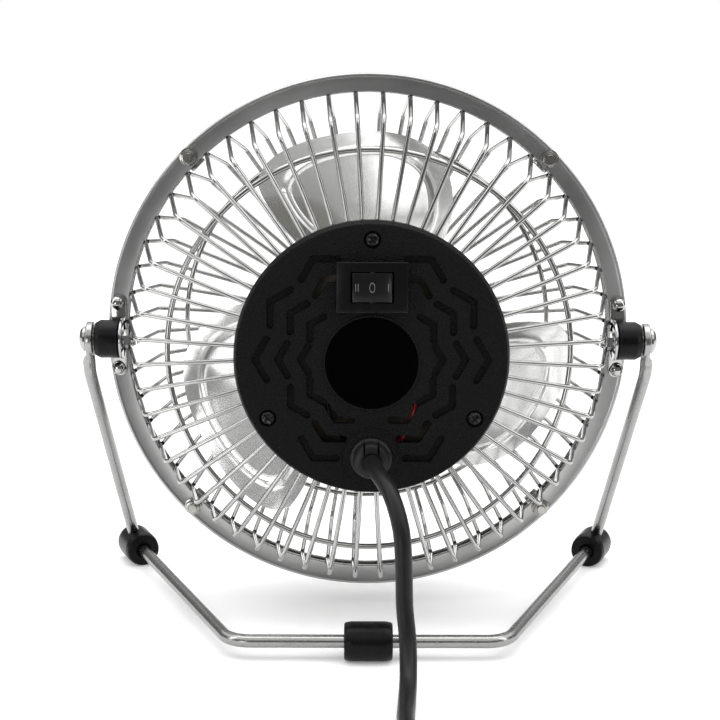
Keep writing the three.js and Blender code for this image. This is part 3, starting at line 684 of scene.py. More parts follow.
def add_camera(context):
    camera = bpy.data.objects.new("camera", bpy.data.cameras.new("camera"))
    context.scene.collection.objects.link(camera)
    turn = (Matrix.Rotation(math.radians(180 - CAMERA_YAW), 4, "Z")
            @ Matrix.Rotation(math.radians(90 - CAMERA_DROP), 4, "X")
            @ Matrix.Rotation(math.radians(CAMERA_ROLL), 4, "Z"))
    camera.matrix_world = Matrix.Translation(CAMERA_PLACE) @ turn
    camera.data.lens = CAMERA_LENS
    camera.data.sensor_width = 36
    camera.data.clip_start = 0.01
    context.scene.camera = camera


def add_floor(context):
    """A wide pale floor that ends a little way toward the viewer."""
    bm = bmesh.new()
    made = bmesh.ops.create_grid(bm, x_segments=1, y_segments=1, size=0.5)["verts"]
    bmesh.ops.scale(bm, vec=(FLOOR_WIDTH, FLOOR_LENGTH, 1), verts=made)
    bmesh.ops.translate(bm, vec=(0, FLOOR_EDGE - FLOOR_LENGTH / 2, -FLOOR_DROP), verts=made)
    floor = piece("floor", bm, "floor", None, recalculate=False)


def add_lights(context):
    target = Vector((0, 0, 0.08))
    for name, place, width, height, power in (
            ("overhead", (0.0, -0.1, 1.3), 1.4, 1.0, 9.0),
            ("left_strip", (0.8, 0.35, 0.5), 0.2, 0.9, 2.0),
            ("right_strip", (-0.8, 0.35, 0.5), 0.2, 0.9, 2.0),
            ("low_left", (0.5, 1.0, 0.02), 0.35, 0.35, 1.6)):
        light = bpy.data.objects.new(name, bpy.data.lights.new(name, "AREA"))
        light.data.shape = "RECTANGLE"
        light.data.size = width
        light.data.size_y = height
        light.data.energy = power
        context.scene.collection.objects.link(light)
        place = Vector(place)
        light.location = place
        light.rotation_euler = (target - place).to_track_quat("-Z", "Y").to_euler()
    sun = bpy.data.objects.new("sky", bpy.data.lights.new("sky", "SUN"))
    sun.data.energy = 2.4
    sun.data.angle = math.radians(120)
    sun.data.specular_factor = 0.25
    context.scene.collection.objects.link(sun)


def add_surroundings(context):
    """Plain white behind the object, and a softly graded room for the metal to reflect."""
    room = Shader("studio", world=True)
    way = room.add("ShaderNodeTexCoord", output="Generated")
    across = room.part(way, "X")
    ahead = room.part(way, "Y")
    up = room.part(way, "Z")
    height = room.ramp(
        up * 0.5 + 0.5, (0.32, 0.1), (0.4, 0.5), (0.5, 0.34), (0.62, 0.42), (0.8, 0.75), (1.0, 1.0))
    front = room.ramp(ahead * 0.5 + 0.5, (0.0, 1.0), (0.45, 0.7), (0.65, 0.4), (0.9, 0.45), (1.0, 0.62))
    side = room.ramp(across * 0.5 + 0.5, (0.0, 1.0), (0.4, 0.95), (0.62, 0.55), (0.85, 0.6), (1.0, 0.9))
    around = room.add("ShaderNodeBackground", {}, {"Color": height * front * side, "Strength": 1.15})
    seen = room.add("ShaderNodeBackground", {}, {"Color": (1, 1, 1, 1)})
    camera_ray = room.add("ShaderNodeLightPath", output="Is Camera Ray")
    both = room.add("ShaderNodeMixShader", {}, {0: camera_ray, 1: around, 2: seen})
    room.feed(room.surface.inputs["Surface"], both)
    context.scene.world = room.material
    context.scene.view_settings.view_transform = "Standard"


# ------------------------------------------------------------------ cord, coil and plug
GLAND_X, GLAND_Z = GLAND.x / MM, GLAND.z / MM
CORD_ROUTE = [
    (GLAND_X, 42.5, GLAND_Z), (GLAND_X - 1.4, 50, GLAND_Z - 0.8), (-6, 59.5, GLAND_Z - 5),
    (-8.8, 66, GLAND_Z - 13.5), (-9.6, 67.5, GLAND_Z - 24), (-9.9, 68.5, GLAND_Z - 35), (-10.8, 71, 14.5),
    (-10.8, 78, 6.2), (-10, 89, 2.8), (-9.5, 102, 2.6), (-12.5, 116, 2.6), (-22, 128, 2.6), (-29, 141, 2.6),
    (-31.8, 156, 2.6),
]
LYING = 2.6
COIL_CENTRE = Vector((6, 162, 0))
COIL_OUTSIDE = 32.8
COIL_PITCH = 5.2
COIL_TURNS = 2.5
COIL_START = 127
POINTS_PER_TURN = 30
UPPER_LAYER = 7.8


def smooth_path(points, per_run):
    """Points on a smooth curve through the given ones."""
    padded = [points[0] * 2 - points[1], *points, points[-1] * 2 - points[-2]]
    path = []
    for a, b, c, d in zip(padded, padded[1:], padded[2:], padded[3:]):
        for k in range(per_run):
            t = k / per_run
            path.append(0.5 * ((2 * b) + (c - a) * t + (2 * a - 5 * b + 4 * c - d) * t * t
                               + (3 * b - a - 3 * c + d) * t * t * t))
    path.append(points[-1].copy())
    return path


def coil_place(degrees, radius, height):
    angle = math.radians(degrees)
    return COIL_CENTRE + Vector((radius * math.cos(angle), radius * math.sin(angle), height))


def cord_path():
    """The whole cord's centre line, from the gland to the plug, in metres."""
    lead_in = smooth_path([Vector(p) for p in CORD_ROUTE], 3)
    first = COIL_START
    way_in = [
        coil_place(first + 11 * k, COIL_OUTSIDE + 0.3 * k + 0.3 * k * k / 2, LYING) for k in (4, 3, 2, 1)]
    coil = []
    steps = int(COIL_TURNS * POINTS_PER_TURN)
    for k in range(steps + 1):
        t = COIL_TURNS * k / steps
        coil.append(coil_place(first - 360 * t, COIL_OUTSIDE - COIL_PITCH * t, LYING))
    inner = COIL_OUTSIDE - COIL_PITCH * COIL_TURNS
    last = first - 360 * COIL_TURNS
    for k in range(4, steps + 1):
        t = COIL_TURNS * k / steps
        climb = min(1.0, k / 9)
        rise = climb * climb * (3 - 2 * climb)
        coil.append(coil_place(last - 360 * t, inner + COIL_PITCH * t, LYING + (UPPER_LAYER - LYING) * rise))
    way_out = []
    for k in range(1, 7):
        t = k / 6
        fall = t * t * (3 - 2 * t)
        way_out.append(coil_place(first - 17.5 * k, COIL_OUTSIDE + 10 * t ** 1.25, UPPER_LAYER - 4.9 * fall))
    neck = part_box("usb_plug_body")[1] / MM
    plug_x = middle("usb_plug_body").x / MM
    tail = [Vector((plug_x - 0.9, neck.y + 15.5, 2.8)), Vector((plug_x - 0.1, neck.y + 8.5, 3.3)),
            Vector((plug_x, neck.y + 2.5, 3.8)), Vector((plug_x, neck.y - 2, 3.9))]
    return [p * MM for p in (*lead_in, *way_in, *coil, *way_out, *tail)]


class DESK_FAN_OT_cord(bpy.types.Operator):
    """Adds the cord with its coil, tie and plug"""

    bl_idname = "desk_fan.cord"
    bl_label = "Cord and plug"

    def execute(self, context):
        radius = context.scene.desk_fan_sizes.cord_radius
        path = cord_path()
        length = sum((b - a).length for a, b in zip(path, path[1:]))
        bm = bmesh.new()
        swept(bm, path, radius, 14)
        cord = piece("cord", bm, "cord", None, ["power_cord", "cord_coil", "plug_lead"], 60)
        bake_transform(cord)
        plug = [self.plug_body(), self.plug_shell(), self.tie()]
        return {"FINISHED"}

    def plug_body(self):
        low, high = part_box("usb_plug_body")
        bm = bmesh.new()
        block(bm, low, high, 1.6 * MM, 4)
        back = [v for v in bm.verts if v.co.y > high.y - 6 * MM]
        heart = middle("usb_plug_body")
        bmesh.ops.scale(bm, vec=(0.8, 1, 0.86), space=Matrix.Translation(-heart), verts=back)
        for k in range(4):
            centre = Vector((heart.x, high.y - (1.2 + 1.6 * k) * MM, heart.z))
            turned(bm, ring_round(2.8 + 0.12 * k, 0, 0.5), centre, REARWARD, 24, closed=True)
        for k in range(5):
            y = low.y + (5 + 2 * k) * MM
            block(bm, (low.x + 2.6 * MM, y, high.z - 0.4 * MM),
                  (high.x - 2.6 * MM, y + 0.9 * MM, high.z + 0.25 * MM), 0.2 * MM, 2)
        return piece("plug_body", bm, "cord", "stand", ["usb_plug_body"])

    def plug_shell(self):
        low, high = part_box("usb_plug_shell")
        bm = bmesh.new()
        block(bm, low, high, 0.5 * MM, 3)
        cutter = bmesh.new()
        wall = 0.32 * MM
        block(cutter, (low.x + wall, low.y - 2 * MM, low.z + wall),
              (high.x - wall, high.y - 2 * MM, high.z - wall))
        for side in (-1, 1):
            x = (low.x + high.x) / 2 + side * 2.9 * MM
            y = (low.y + high.y) / 2
            block(cutter, (x - 1.2 * MM, y - 1.2 * MM, high.z - 1.2 * MM),
                  (x + 1.2 * MM, y + 1.2 * MM, high.z + MM))
        bm = carved(bm, cutter)
        block(bm, (low.x + 0.6 * MM, low.y + 0.6 * MM, low.z + 0.5 * MM),
              (high.x - 0.6 * MM, high.y - 2 * MM, low.z + 2.2 * MM))
        nodes = ["usb_plug_shell"]
        return piece("plug_shell", bm, "steel", "stand", nodes, recalculate=False)

    def tie(self):
        low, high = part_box("coil_tie")
        centre = (low + high) / 2
        half_wide, half_tall = (high.y - low.y) / 2 - 0.5 * MM, (high.z - low.z) / 2 - 0.15 * MM
        bm = bmesh.new()
        ring = bmesh.ops.create_circle(bm, cap_ends=False, radius=1, segments=40)["verts"]
        for v in ring:
            angle = math.atan2(v.co.y, v.co.x)
            across, up = math.cos(angle), math.sin(angle)
            squareness = (abs(across) ** 4 + abs(up) ** 4) ** -0.25
            v.co = Vector((0, across * squareness * half_wide, up * squareness * half_tall))
        made = bmesh.ops.extrude_edge_only(bm, edges=bm.edges)["geom"]
        bmesh.ops.translate(bm, vec=(4.8 * MM, 0, 0), verts=corners_of(made))
        bmesh.ops.translate(bm, vec=(centre.x - 2.4 * MM, centre.y, centre.z - 0.1 * MM), verts=bm.verts)
        bmesh.ops.recalc_face_normals(bm, faces=bm.faces)
        bmesh.ops.solidify(bm, geom=bm.faces, thickness=0.7 * MM)
        block(bm, (centre.x - 2.9 * MM, centre.y - 4 * MM, 10.5 * MM),
              (centre.x + 2.9 * MM, centre.y + 1.5 * MM, 12.2 * MM), 0.5 * MM)
        return piece("coil_strap", bm, "black_lead", "stand", ["coil_tie"])


# ------------------------------------------------------------------ stand
ROD_RADIUS = 2.0 * MM
HEEL = Vector((81.6, -48.7, 5.7)) * MM
CORNER = Vector((41, 48.7, 5.7)) * MM
KNEE_DROP = 10 * MM
ROD_TOP = PIVOT.z - 7.4 * MM
LUG_THICK = 2.2
LUG_NECK = 4.2
FOOT_FLAT = 0.02 * MM


def mirrored(point):
    return Vector((-point.x, point.y, point.z))


def on_pivot(x):
    """A place on the line that the head tilts about."""
    return Vector((x, PIVOT.y, PIVOT.z))


def rod_corners():
    rod_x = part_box("stand_rod")[1].x - ROD_RADIUS
    knee = Vector((rod_x, PIVOT.y, PIVOT.z - KNEE_DROP))
    left = [Vector((rod_x, PIVOT.y, ROD_TOP)), knee, HEEL, CORNER]
    return left + [mirrored(p) for p in reversed(left)]


class DESK_FAN_OT_stand(bpy.types.Operator):
    """Adds the bent rod with its flattened and drilled ends"""

    bl_idname = "desk_fan.stand"
    bl_label = "Stand rod"

    def execute(self, context):
        bm = bmesh.new()
        bends = [9 * MM, 4 * MM, 9 * MM, 9 * MM, 4 * MM, 9 * MM]
        swept(bm, rounded(rod_corners(), bends, 9), ROD_RADIUS, 20)
        for side in (1, -1):
            self.lug(bm, side)
        piece("rod", bm, "rod", "stand", ["stand_rod"], 40)
        return {"FINISHED"}

    def lug(self, bm, side):
        """The forged end: round rod pressed flat and drilled for the pivot screw."""
        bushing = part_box("pivot_bushing_left")[1].x
        flat_x = bushing + (0.3 + LUG_THICK / 2) * MM
        rod_x = rod_corners()[0].x
        ring = bmesh.ops.create_circle(
            bm, cap_ends=True, radius=0.98 * ROD_RADIUS, segments=20,
            matrix=Matrix.Translation((side * rod_x, PIVOT.y, ROD_TOP - 0.4 * MM)))["verts"]
        edges = edges_of(ring)
        steps = 6
        for k in range(1, steps + 1):
            ring, edges = next_ring(bm, edges)
            t = k / steps
            soft = t * t * (3 - 2 * t)
            x = side * (rod_x + (flat_x - rod_x) * soft)
            centre = Vector((x, PIVOT.y, ROD_TOP + LUG_NECK * t * MM))
            thick = 1 + (LUG_THICK * MM / 2 / ROD_RADIUS - 1) * soft
            wide = 1 + 0.95 * soft
            for v in ring:
                v.co.z = centre.z
            middle_now = sum((v.co for v in ring), Vector()) / len(ring)
            spread = max((v.co.y - middle_now.y) for v in ring)
            depth = max((v.co.x - middle_now.x) for v in ring)
            for v in ring:
                v.co.x = centre.x + (v.co.x - middle_now.x) / depth * ROD_RADIUS * thick
                v.co.y = centre.y + (v.co.y - middle_now.y) / spread * ROD_RADIUS * wide
        bmesh.ops.contextual_create(bm, geom=edges)
        half, bore, outside = LUG_THICK / 2, 2.15, 5.4
        washer = [(bore, 0), (bore, half), (outside, half), (outside, -half), (bore, -half), (bore, -0.01)]
        outline = softened(washer, 0.45, 3)
        turned(bm, outline, on_pivot(side * flat_x), (1, 0, 0), 48, closed=True)


class DESK_FAN_OT_feet(bpy.types.Operator):
    """Adds the three rubber feet on the rod"""

    bl_idname = "desk_fan.feet"
    bl_label = "Rubber feet"

    def execute(self, context):
        run = (CORNER - HEEL).normalized()
        foot = HEEL + run * 2.6 * MM
        self.foot("foot_a", foot, run, "foot_left")
        self.foot("foot_b", mirrored(foot), mirrored(run), "foot_right")
        self.foot("foot_c", Vector((0, CORNER.y, HEEL.z)), Vector((1, 0, 0)), "foot_rear")
        return {"FINISHED"}

    def foot(self, name, centre, run, node):
        half, radius, bore = 7.2, 5.9, 2.05
        outline = softened([(bore, -half + 0.9), (2.5, -half), (radius - 0.4, -half), (radius, -half + 2.2),
                            (radius, half - 2.2), (radius - 0.4, half), (2.5, half), (bore, half - 0.9)],
                           0.75, 4)
        bm = bmesh.new()
        turned(bm, outline, centre, run, 48)
        for v in bm.verts:
            v.co.z = max(v.co.z, FOOT_FLAT)
        piece(name, bm, "rubber", "stand", [node], 45)


# ------------------------------------------------------------------ rim and fasteners
class DESK_FAN_OT_rim(bpy.types.Operator):
    """Adds the folded sheet rim with its rolled outer lip"""

    bl_idname = "desk_fan.rim"
    bl_label = "Rim"

    def execute(self, context):
        r, d = RIM_RADIUS, RIM_DEPTH
        outline = [
            (r - 5.6, -0.1), (r - 1.5, -0.1), (r - 1.15, 0.02), (r - 0.75, 0.2), (r - 0.3, 0.12),
            (r - 0.04, -0.25), (r, -0.8), (r - 0.1, -1.5), (r - 0.35, -1.9), (r - 0.4, -2.4),
            (r - 0.4, 0.8 - d), (r - 0.6, 0.25 - d), (r - 1.1, -d), (r - 5.0, -d), (r - 5.3, 0.25 - d),
            (r - 5.0, 0.6 - d), (r - 1.6, 0.7 - d), (r - 1.1, 1.3 - d), (r - 1.1, -1.6), (r - 1.5, -0.95),
            (r - 5.5, -0.85), (r - 5.85, -0.5)]
        bm = bmesh.new()
        turned(bm, outline, HEAD, REARWARD, 192, closed=True)
        piece("rim", bm, "rim", "head", ["outer_rim"], 50)
        return {"FINISHED"}


class DESK_FAN_OT_rim_screws(bpy.types.Operator):
    """Adds the four screws and hex nuts that clamp the guards into the rim"""

    bl_idname = "desk_fan.rim_screws"
    bl_label = "Rim screws and nuts"

    def execute(self, context):
        for number in range(1, 5):
            place = middle(f"rim_nut_{number}")
            low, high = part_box(f"rim_screw_{number}")
            foot = Vector((place.x, RIM_REAR, place.z))
            bm = bmesh.new()
            washer = softened([(1.3, 0.02), (2.85, 0.02), (2.85, 0.3), (1.3, 0.3)], 0.1, 2)
            turned(bm, washer, foot, REARWARD, 24, closed=True)
            hexagon(bm, foot, REARWARD, 2.55, 0.3, 2.1, 1.35)
            piece(f"rim_nut_piece_{number}", bm, "steel", "head", [f"rim_nut_{number}"])
            front = Vector((place.x, low.y + 1.5 * MM, place.z))
            reach = along_head(high.y) - along_head(front.y)
            screw = cross_screw(front, (0, -1, 0), 2.2, 1.4, 1.2, reach)
            for k in range(4):
                turned(screw, ring_round(1.2, 1.0 + 0.5 * k, 0.12, 6), foot, REARWARD, 20, closed=True)
            node = f"rim_screw_{number}"
            piece(f"rim_screw_piece_{number}", screw, "steel", "head", [node])
        return {"FINISHED"}


# ------------------------------------------------------------------ guards
class DESK_FAN_OT_guards(bpy.types.Operator):
    """Adds the rear and front wire guards"""

    bl_idname = "desk_fan.guards"
    bl_label = "Wire guards"

    def execute(self, context):
        self.guard("rear_guard_wires", "rear_guard", 1, 0.0, 30.8, 0.8, 39.5)
        self.guard("front_guard_wires", "front_guard", -1, -RIM_DEPTH, 23.0, 3.0, 22.0)
        return {"FINISHED"}

    def guard(self, name, node, forward, face, depth, rise, plate_radius):
        sizes = bpy.context.scene.desk_fan_sizes
        start_radius, bend_radius, middle_radius = 76.2, 70.0, 60.5
        base_along = face - forward * 1.9
        corners = [
            Vector((0, base_along, start_radius)), Vector((0, face + forward * depth, bend_radius)),
            Vector((0, face + forward * (depth + rise), plate_radius - 2.5))]
        wire = [HEAD + p * MM for p in rounded(corners, [sizes.bend_round], 4)]
        bm = bmesh.new()
        swept(bm, wire, sizes.wire_radius * MM, 8)
        half_step = Matrix.Rotation(math.pi / sizes.wire_count, 3, "Y")
        bmesh.ops.rotate(bm, cent=HEAD, matrix=half_step, verts=bm.verts)
        bmesh.ops.spin(
            bm, geom=bm.verts[:] + bm.edges[:] + bm.faces[:], cent=HEAD, axis=REARWARD,
            angle=FULL_TURN * (sizes.wire_count - 1) / sizes.wire_count, steps=sizes.wire_count - 1,
            use_duplicate=True)
        turned(bm, ring_round(start_radius + 0.85, base_along, 0.55), HEAD, REARWARD, 168, closed=True)
        share = (bend_radius - middle_radius) / (bend_radius - plate_radius + 2)
        ring_along = face + forward * (depth + rise * share - sizes.wire_radius - sizes.ring_radius * 0.75)
        ring = ring_round(middle_radius, ring_along, sizes.ring_radius)
        turned(bm, ring, HEAD, REARWARD, 168, closed=True)
        top = face + forward * (depth + rise + 0.1)
        bottom = top - forward * 1.2
        plate = bmesh.new()
        outline = softened([(0, top), (plate_radius, top), (plate_radius, bottom), (0, bottom)], 0.3, 2)
        turned(plate, outline, HEAD, REARWARD, 96)
        # The rear plate takes the darkened plate finish, painted shade behind the cover's slots; the front
        # plate stays chrome.
        look = "plate" if forward > 0 else "chrome"
        piece(name.replace("wires", "plate"), plate, look, "head")
        for degrees in (45, 135, 225, 315):
            self.tab(bm, degrees, face - forward * 1.7)
        piece(name, bm, "chrome", "head", [node], 50)

    def tab(self, bm, degrees, along):
        """The drilled ear that the rim screw clamps."""
        before = set(bm.verts)
        block(bm, HEAD + Vector((-2.4, along - 0.45, 75.4)) * MM,
              HEAD + Vector((2.4, along + 0.45, 81.0)) * MM, 0.3 * MM, 2)
        made = [v for v in bm.verts if v not in before]
        bmesh.ops.rotate(bm, cent=HEAD, matrix=Matrix.Rotation(math.radians(degrees), 3, "Y"), verts=made)


class DESK_FAN_OT_badge(bpy.types.Operator):
    """Adds the blank front badge"""

    bl_idname = "desk_fan.badge"
    bl_label = "Front badge"

    def execute(self, context):
        front = along_head(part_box("front_badge")[0].y)
        face = [(0, 0), (12, 0.12), (16.4, 0.35), (17.1, 0.8), (17.8, 0.55), (19.2, 0.95), (20.2, 1.7),
                (20.5, 2.5), (20.2, 2.65), (1.5, 2.65), (1.5, 5.6), (0, 5.6)]
        outline = [(radius, front + along) for radius, along in face]
        bm = bmesh.new()
        turned(bm, outline, HEAD, REARWARD, 96)
        piece("badge", bm, "gloss", "head", ["front_badge"], 40)
        return {"FINISHED"}


# ------------------------------------------------------------------ pivots
class DESK_FAN_OT_pivots(bpy.types.Operator):
    """Adds both pivots: brackets, rivets, bushings, screws and nuts"""

    bl_idname = "desk_fan.pivots"
    bl_label = "Pivots"

    def execute(self, context):
        for side, hand in ((1, "left"), (-1, "right")):
            self.bracket(side, hand)
            for level in ("upper", "lower"):
                self.rivet(hand, level)
            self.bushing(side, hand)
            self.screw_and_nut(side, hand)
        return {"FINISHED"}

    def bracket(self, side, hand):
        low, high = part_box(f"pivot_bracket_{hand}")
        inner = low.x if side > 0 else high.x
        bm = bmesh.new()
        sheet = 0.9 * MM
        block(bm, (low.x, low.y, low.z + 1.8 * MM), (high.x, low.y + sheet, high.z - 1.8 * MM), 0.3 * MM)
        for end in (low.z + 2.4 * MM, high.z - 2.4 * MM):
            pad = Vector(((low.x + high.x) / 2, low.y, end))
            turned(bm, softened([(0, 0), (2.35, 0), (2.35, 0.9), (0, 0.9)], 0.25, 2), pad, REARWARD, 32)
        near, far = sorted((inner, inner + side * sheet))
        block(bm, (near, low.y + 0.1 * MM, PIVOT.z - 6.4 * MM), (far, PIVOT.y, PIVOT.z + 6.4 * MM), 0.3 * MM)
        ear = softened([(0, 0), (6.1, 0), (6.1, 0.9), (0, 0.9)], 0.25, 2)
        turned(bm, ear, on_pivot(near), (1, 0, 0), 48)
        piece(f"bracket_{hand}", bm, "chrome", "head", [f"pivot_bracket_{hand}"])

    def rivet(self, hand, level):
        node = f"bracket_rivet_{hand}_{level}"
        low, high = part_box(node)
        base = Vector((middle(node).x, high.y - 1.5 * MM, middle(node).z))
        shank = (base.y - low.y) / MM
        dome = [(2.15 * math.cos(a), 1.55 * math.sin(a)) for a in (math.pi / 2 * k / 7 for k in range(8))]
        outline = [(0, -shank), (1, -shank), (1, -0.1), (2.0, -0.25), *dome[:-1], (0, dome[-1][1])]
        bm = bmesh.new()
        turned(bm, outline, base, REARWARD, 36)
        piece(f"rivet_{hand}_{level}", bm, "chrome", "head", [node], 50)

    def bushing(self, side, hand):
        node = f"pivot_bushing_{hand}"
        low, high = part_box(node)
        length, bore = (high.x - low.x) / MM, 2.15
        inner = on_pivot(low.x if side > 0 else high.x)
        outline = softened([(bore, 0.4), (bore, 0.0), (5.85, 0.0), (5.95, 1.4), (6.0, length - 1.9),
                            (5.1, length - 0.25), (4.0, length), (bore, length), (bore, length - 0.4)],
                           0.35, 3)
        bm = bmesh.new()
        turned(bm, outline, inner, (side, 0, 0), 64)
        flange = softened([(2.2, 0.15), (6.02, 0.15), (6.02, 0.75), (2.2, 0.75)], 0.15, 2)
        turned(bm, flange, inner, (side, 0, 0), 64, closed=True)
        piece(f"bushing_{hand}", bm, "rubber", "head", [node], 40)

    def screw_and_nut(self, side, hand):
        low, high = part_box(f"pivot_screw_{hand}")
        tip, head_end = (low.x, high.x) if side > 0 else (high.x, low.x)
        under = on_pivot(head_end - side * 2.1 * MM)
        reach = abs(under.x - tip) / MM
        screw = cross_screw(under, (side, 0, 0), 3.9, 2.1, 1.9, reach)
        for k in range(3):
            thread = ring_round(1.9, -reach + 0.5 + 0.6 * k, 0.14, 6)
            turned(screw, thread, under, (side, 0, 0), 24, closed=True)
        piece(f"pivot_screw_piece_{hand}", screw, "chrome", "head", [f"pivot_screw_{hand}"])
        low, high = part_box(f"pivot_nut_{hand}")
        face = on_pivot(high.x if side > 0 else low.x)
        bm = bmesh.new()
        hexagon(bm, face, (-side, 0, 0), 3.0, 0, 2.1, 2.1)
        piece(f"pivot_nut_piece_{hand}", bm, "chrome", "head", [f"pivot_nut_{hand}"])


# ------------------------------------------------------------------ rear cover
SLOT_ROWS = ((21.0, 4.6), (27.7, 5.6), (34.5, 7.0))
SLOT_WIDTH = 2.2
SCREW_TURNS = (0, 120, 240)
SCREW_CIRCLE = 35.5
LABEL_SEAT = COVER - Vector((0, 0, MM))


def slot_kind(degrees, row):
    """None where there is no slot, or whether the slot goes through."""
    upper_open, lower_open = degrees in (30, 330), degrees in (150, 210)
    if degrees in (0, 180) or (upper_open and row == 0) or (row == 2 and degrees in SCREW_TURNS):
        return None
    return (row == 1 and (upper_open or lower_open)) or (row == 0 and lower_open)


class DESK_FAN_OT_cover(bpy.types.Operator):
    """Adds the rear cover with its V-shaped slots"""

    bl_idname = "desk_fan.cover"
    bl_label = "Rear cover"

    def execute(self, context):
        low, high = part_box("rear_cover")
        radius = (high.x - low.x) / 2 / MM
        front, back = along_head(low.y), COVER_ALONG
        shell = softened([(0, back), (radius - 0.9, back), (radius, back - 2.6), (radius, front),
                          (radius - 1.8, front), (radius - 1.8, back - 1.8), (0, back - 1.8)], 0.6, 4)
        shell[1:2] = [(8, back), (16, back), (24, back), (32, back)]
        bm = bmesh.new()
        turned(bm, shell, COVER, REARWARD, 128)
        bm = carved(bm, self.cutters(context.scene.desk_fan_sizes.slot_depth, front, back))
        boss = Vector((GLAND.x, RIM_REAR, GLAND.z))
        mound = [(4.8, back - 0.4), (9.4, back - 0.4), (8.3, back + 0.3), (8.2, back + 1.0),
                 (4.8, back + 1.0)]
        turned(bm, softened(mound, 0.3, 3), boss, REARWARD, 64, closed=True)
        lip = [(13.75, back - 0.3), (13.75, back + 0.22), (14.4, back + 0.22), (14.6, back - 0.3)]
        turned(bm, softened(lip, 0.14, 3), LABEL_SEAT, REARWARD, 96, closed=True)
        piece("cover", bm, "cover", "head", ["rear_cover"], 28, recalculate=False)
        return {"FINISHED"}

    def cutters(self, blind_depth, front, back):
        cutter = bmesh.new()
        for degrees in range(0, 360, 30):
            for row, (radius, arm) in enumerate(SLOT_ROWS):
                through = slot_kind(degrees, row)
                if through is not None:
                    self.chevron(cutter, radius, arm, degrees, back, 4.0 if through else blind_depth)
        for degrees in SCREW_TURNS:
            centre = head_place(SCREW_CIRCLE, degrees, 0, COVER)
            sink = [(0, back - 1.0), (2.35, back - 1.0), (2.65, back + 0.02), (2.65, back + 1), (0, back + 1)]
            turned(cutter, sink, centre, REARWARD, 32)
        recess = [(0, back - 0.55), (13.8, back - 0.55), (13.8, back + 1), (0, back + 1)]
        turned(cutter, recess, LABEL_SEAT, REARWARD, 96)
        low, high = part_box("switch_body")
        block(cutter, (low.x + 0.9 * MM, HEAD.y + front * MM - MM, low.z + 0.9 * MM),
              (high.x - 0.9 * MM, HEAD.y + (back + 1) * MM, high.z - 0.9 * MM))
        return cutter

    def chevron(self, bm, radius, arm, degrees, back, depth):
        """Two round-ended arms that meet in a point facing outward."""
        for side in (-1, 1):
            made = bmesh.ops.create_circle(
                bm, cap_ends=True, radius=SLOT_WIDTH / 2 * MM, segments=16,
                matrix=Matrix.Rotation(math.pi / 16, 4, "Z"))["verts"]
            bmesh.ops.translate(bm, vec=(arm * MM, 0, 0), verts=[v for v in made if v.co.x > 0])
            solid = bmesh.ops.extrude_face_region(bm, geom=list(made[0].link_faces))["geom"]
            top = corners_of(solid)
            bmesh.ops.translate(bm, vec=(0, 0, (depth + 1) * MM), verts=top)
            place = (Matrix.Translation(COVER) @ Matrix.Rotation(math.radians(degrees), 4, "Y")
                     @ Matrix.Translation(Vector((0, back + 1, radius)) * MM)
                     @ Matrix.Rotation(math.pi / 2, 4, "X")
                     @ Matrix.Rotation(math.radians(-30 if side > 0 else 210), 4, "Z"))
            bmesh.ops.transform(bm, matrix=place, verts=made + top)


class DESK_FAN_OT_cover_screws(bpy.types.Operator):
    """Adds the three cover screws and the label plate"""

    bl_idname = "desk_fan.cover_screws"
    bl_label = "Cover screws and label"

    def execute(self, context):
        for number, degrees in enumerate(SCREW_TURNS, 1):
            node = f"cover_screw_{number}"
            shank = COVER_ALONG - 1 - along_head(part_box(node)[0].y)
            seat = head_place(SCREW_CIRCLE, degrees, COVER_ALONG - 0.98, COVER)
            screw = cross_screw(seat, REARWARD, 2.1, 1.15, 0.9, shank)
            piece(f"cover_screw_piece_{number}", screw, "dark_screw", "head", [node])
        centre = middle("label_disc")
        face = (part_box("label_disc")[1].y - centre.y) / MM
        bm = bmesh.new()
        outline = [(0, -face), (13.5, -face), (13.6, face - 0.25), (13.35, face - 0.08), (12.9, face - 0.02),
                   (12.6, face - 0.1), (8, face - 0.1), (4, face - 0.1), (0, face - 0.1)]
        turned(bm, outline, centre, REARWARD, 96)
        piece("label_plate", bm, "label", "head", ["label_disc"], 50)
        return {"FINISHED"}


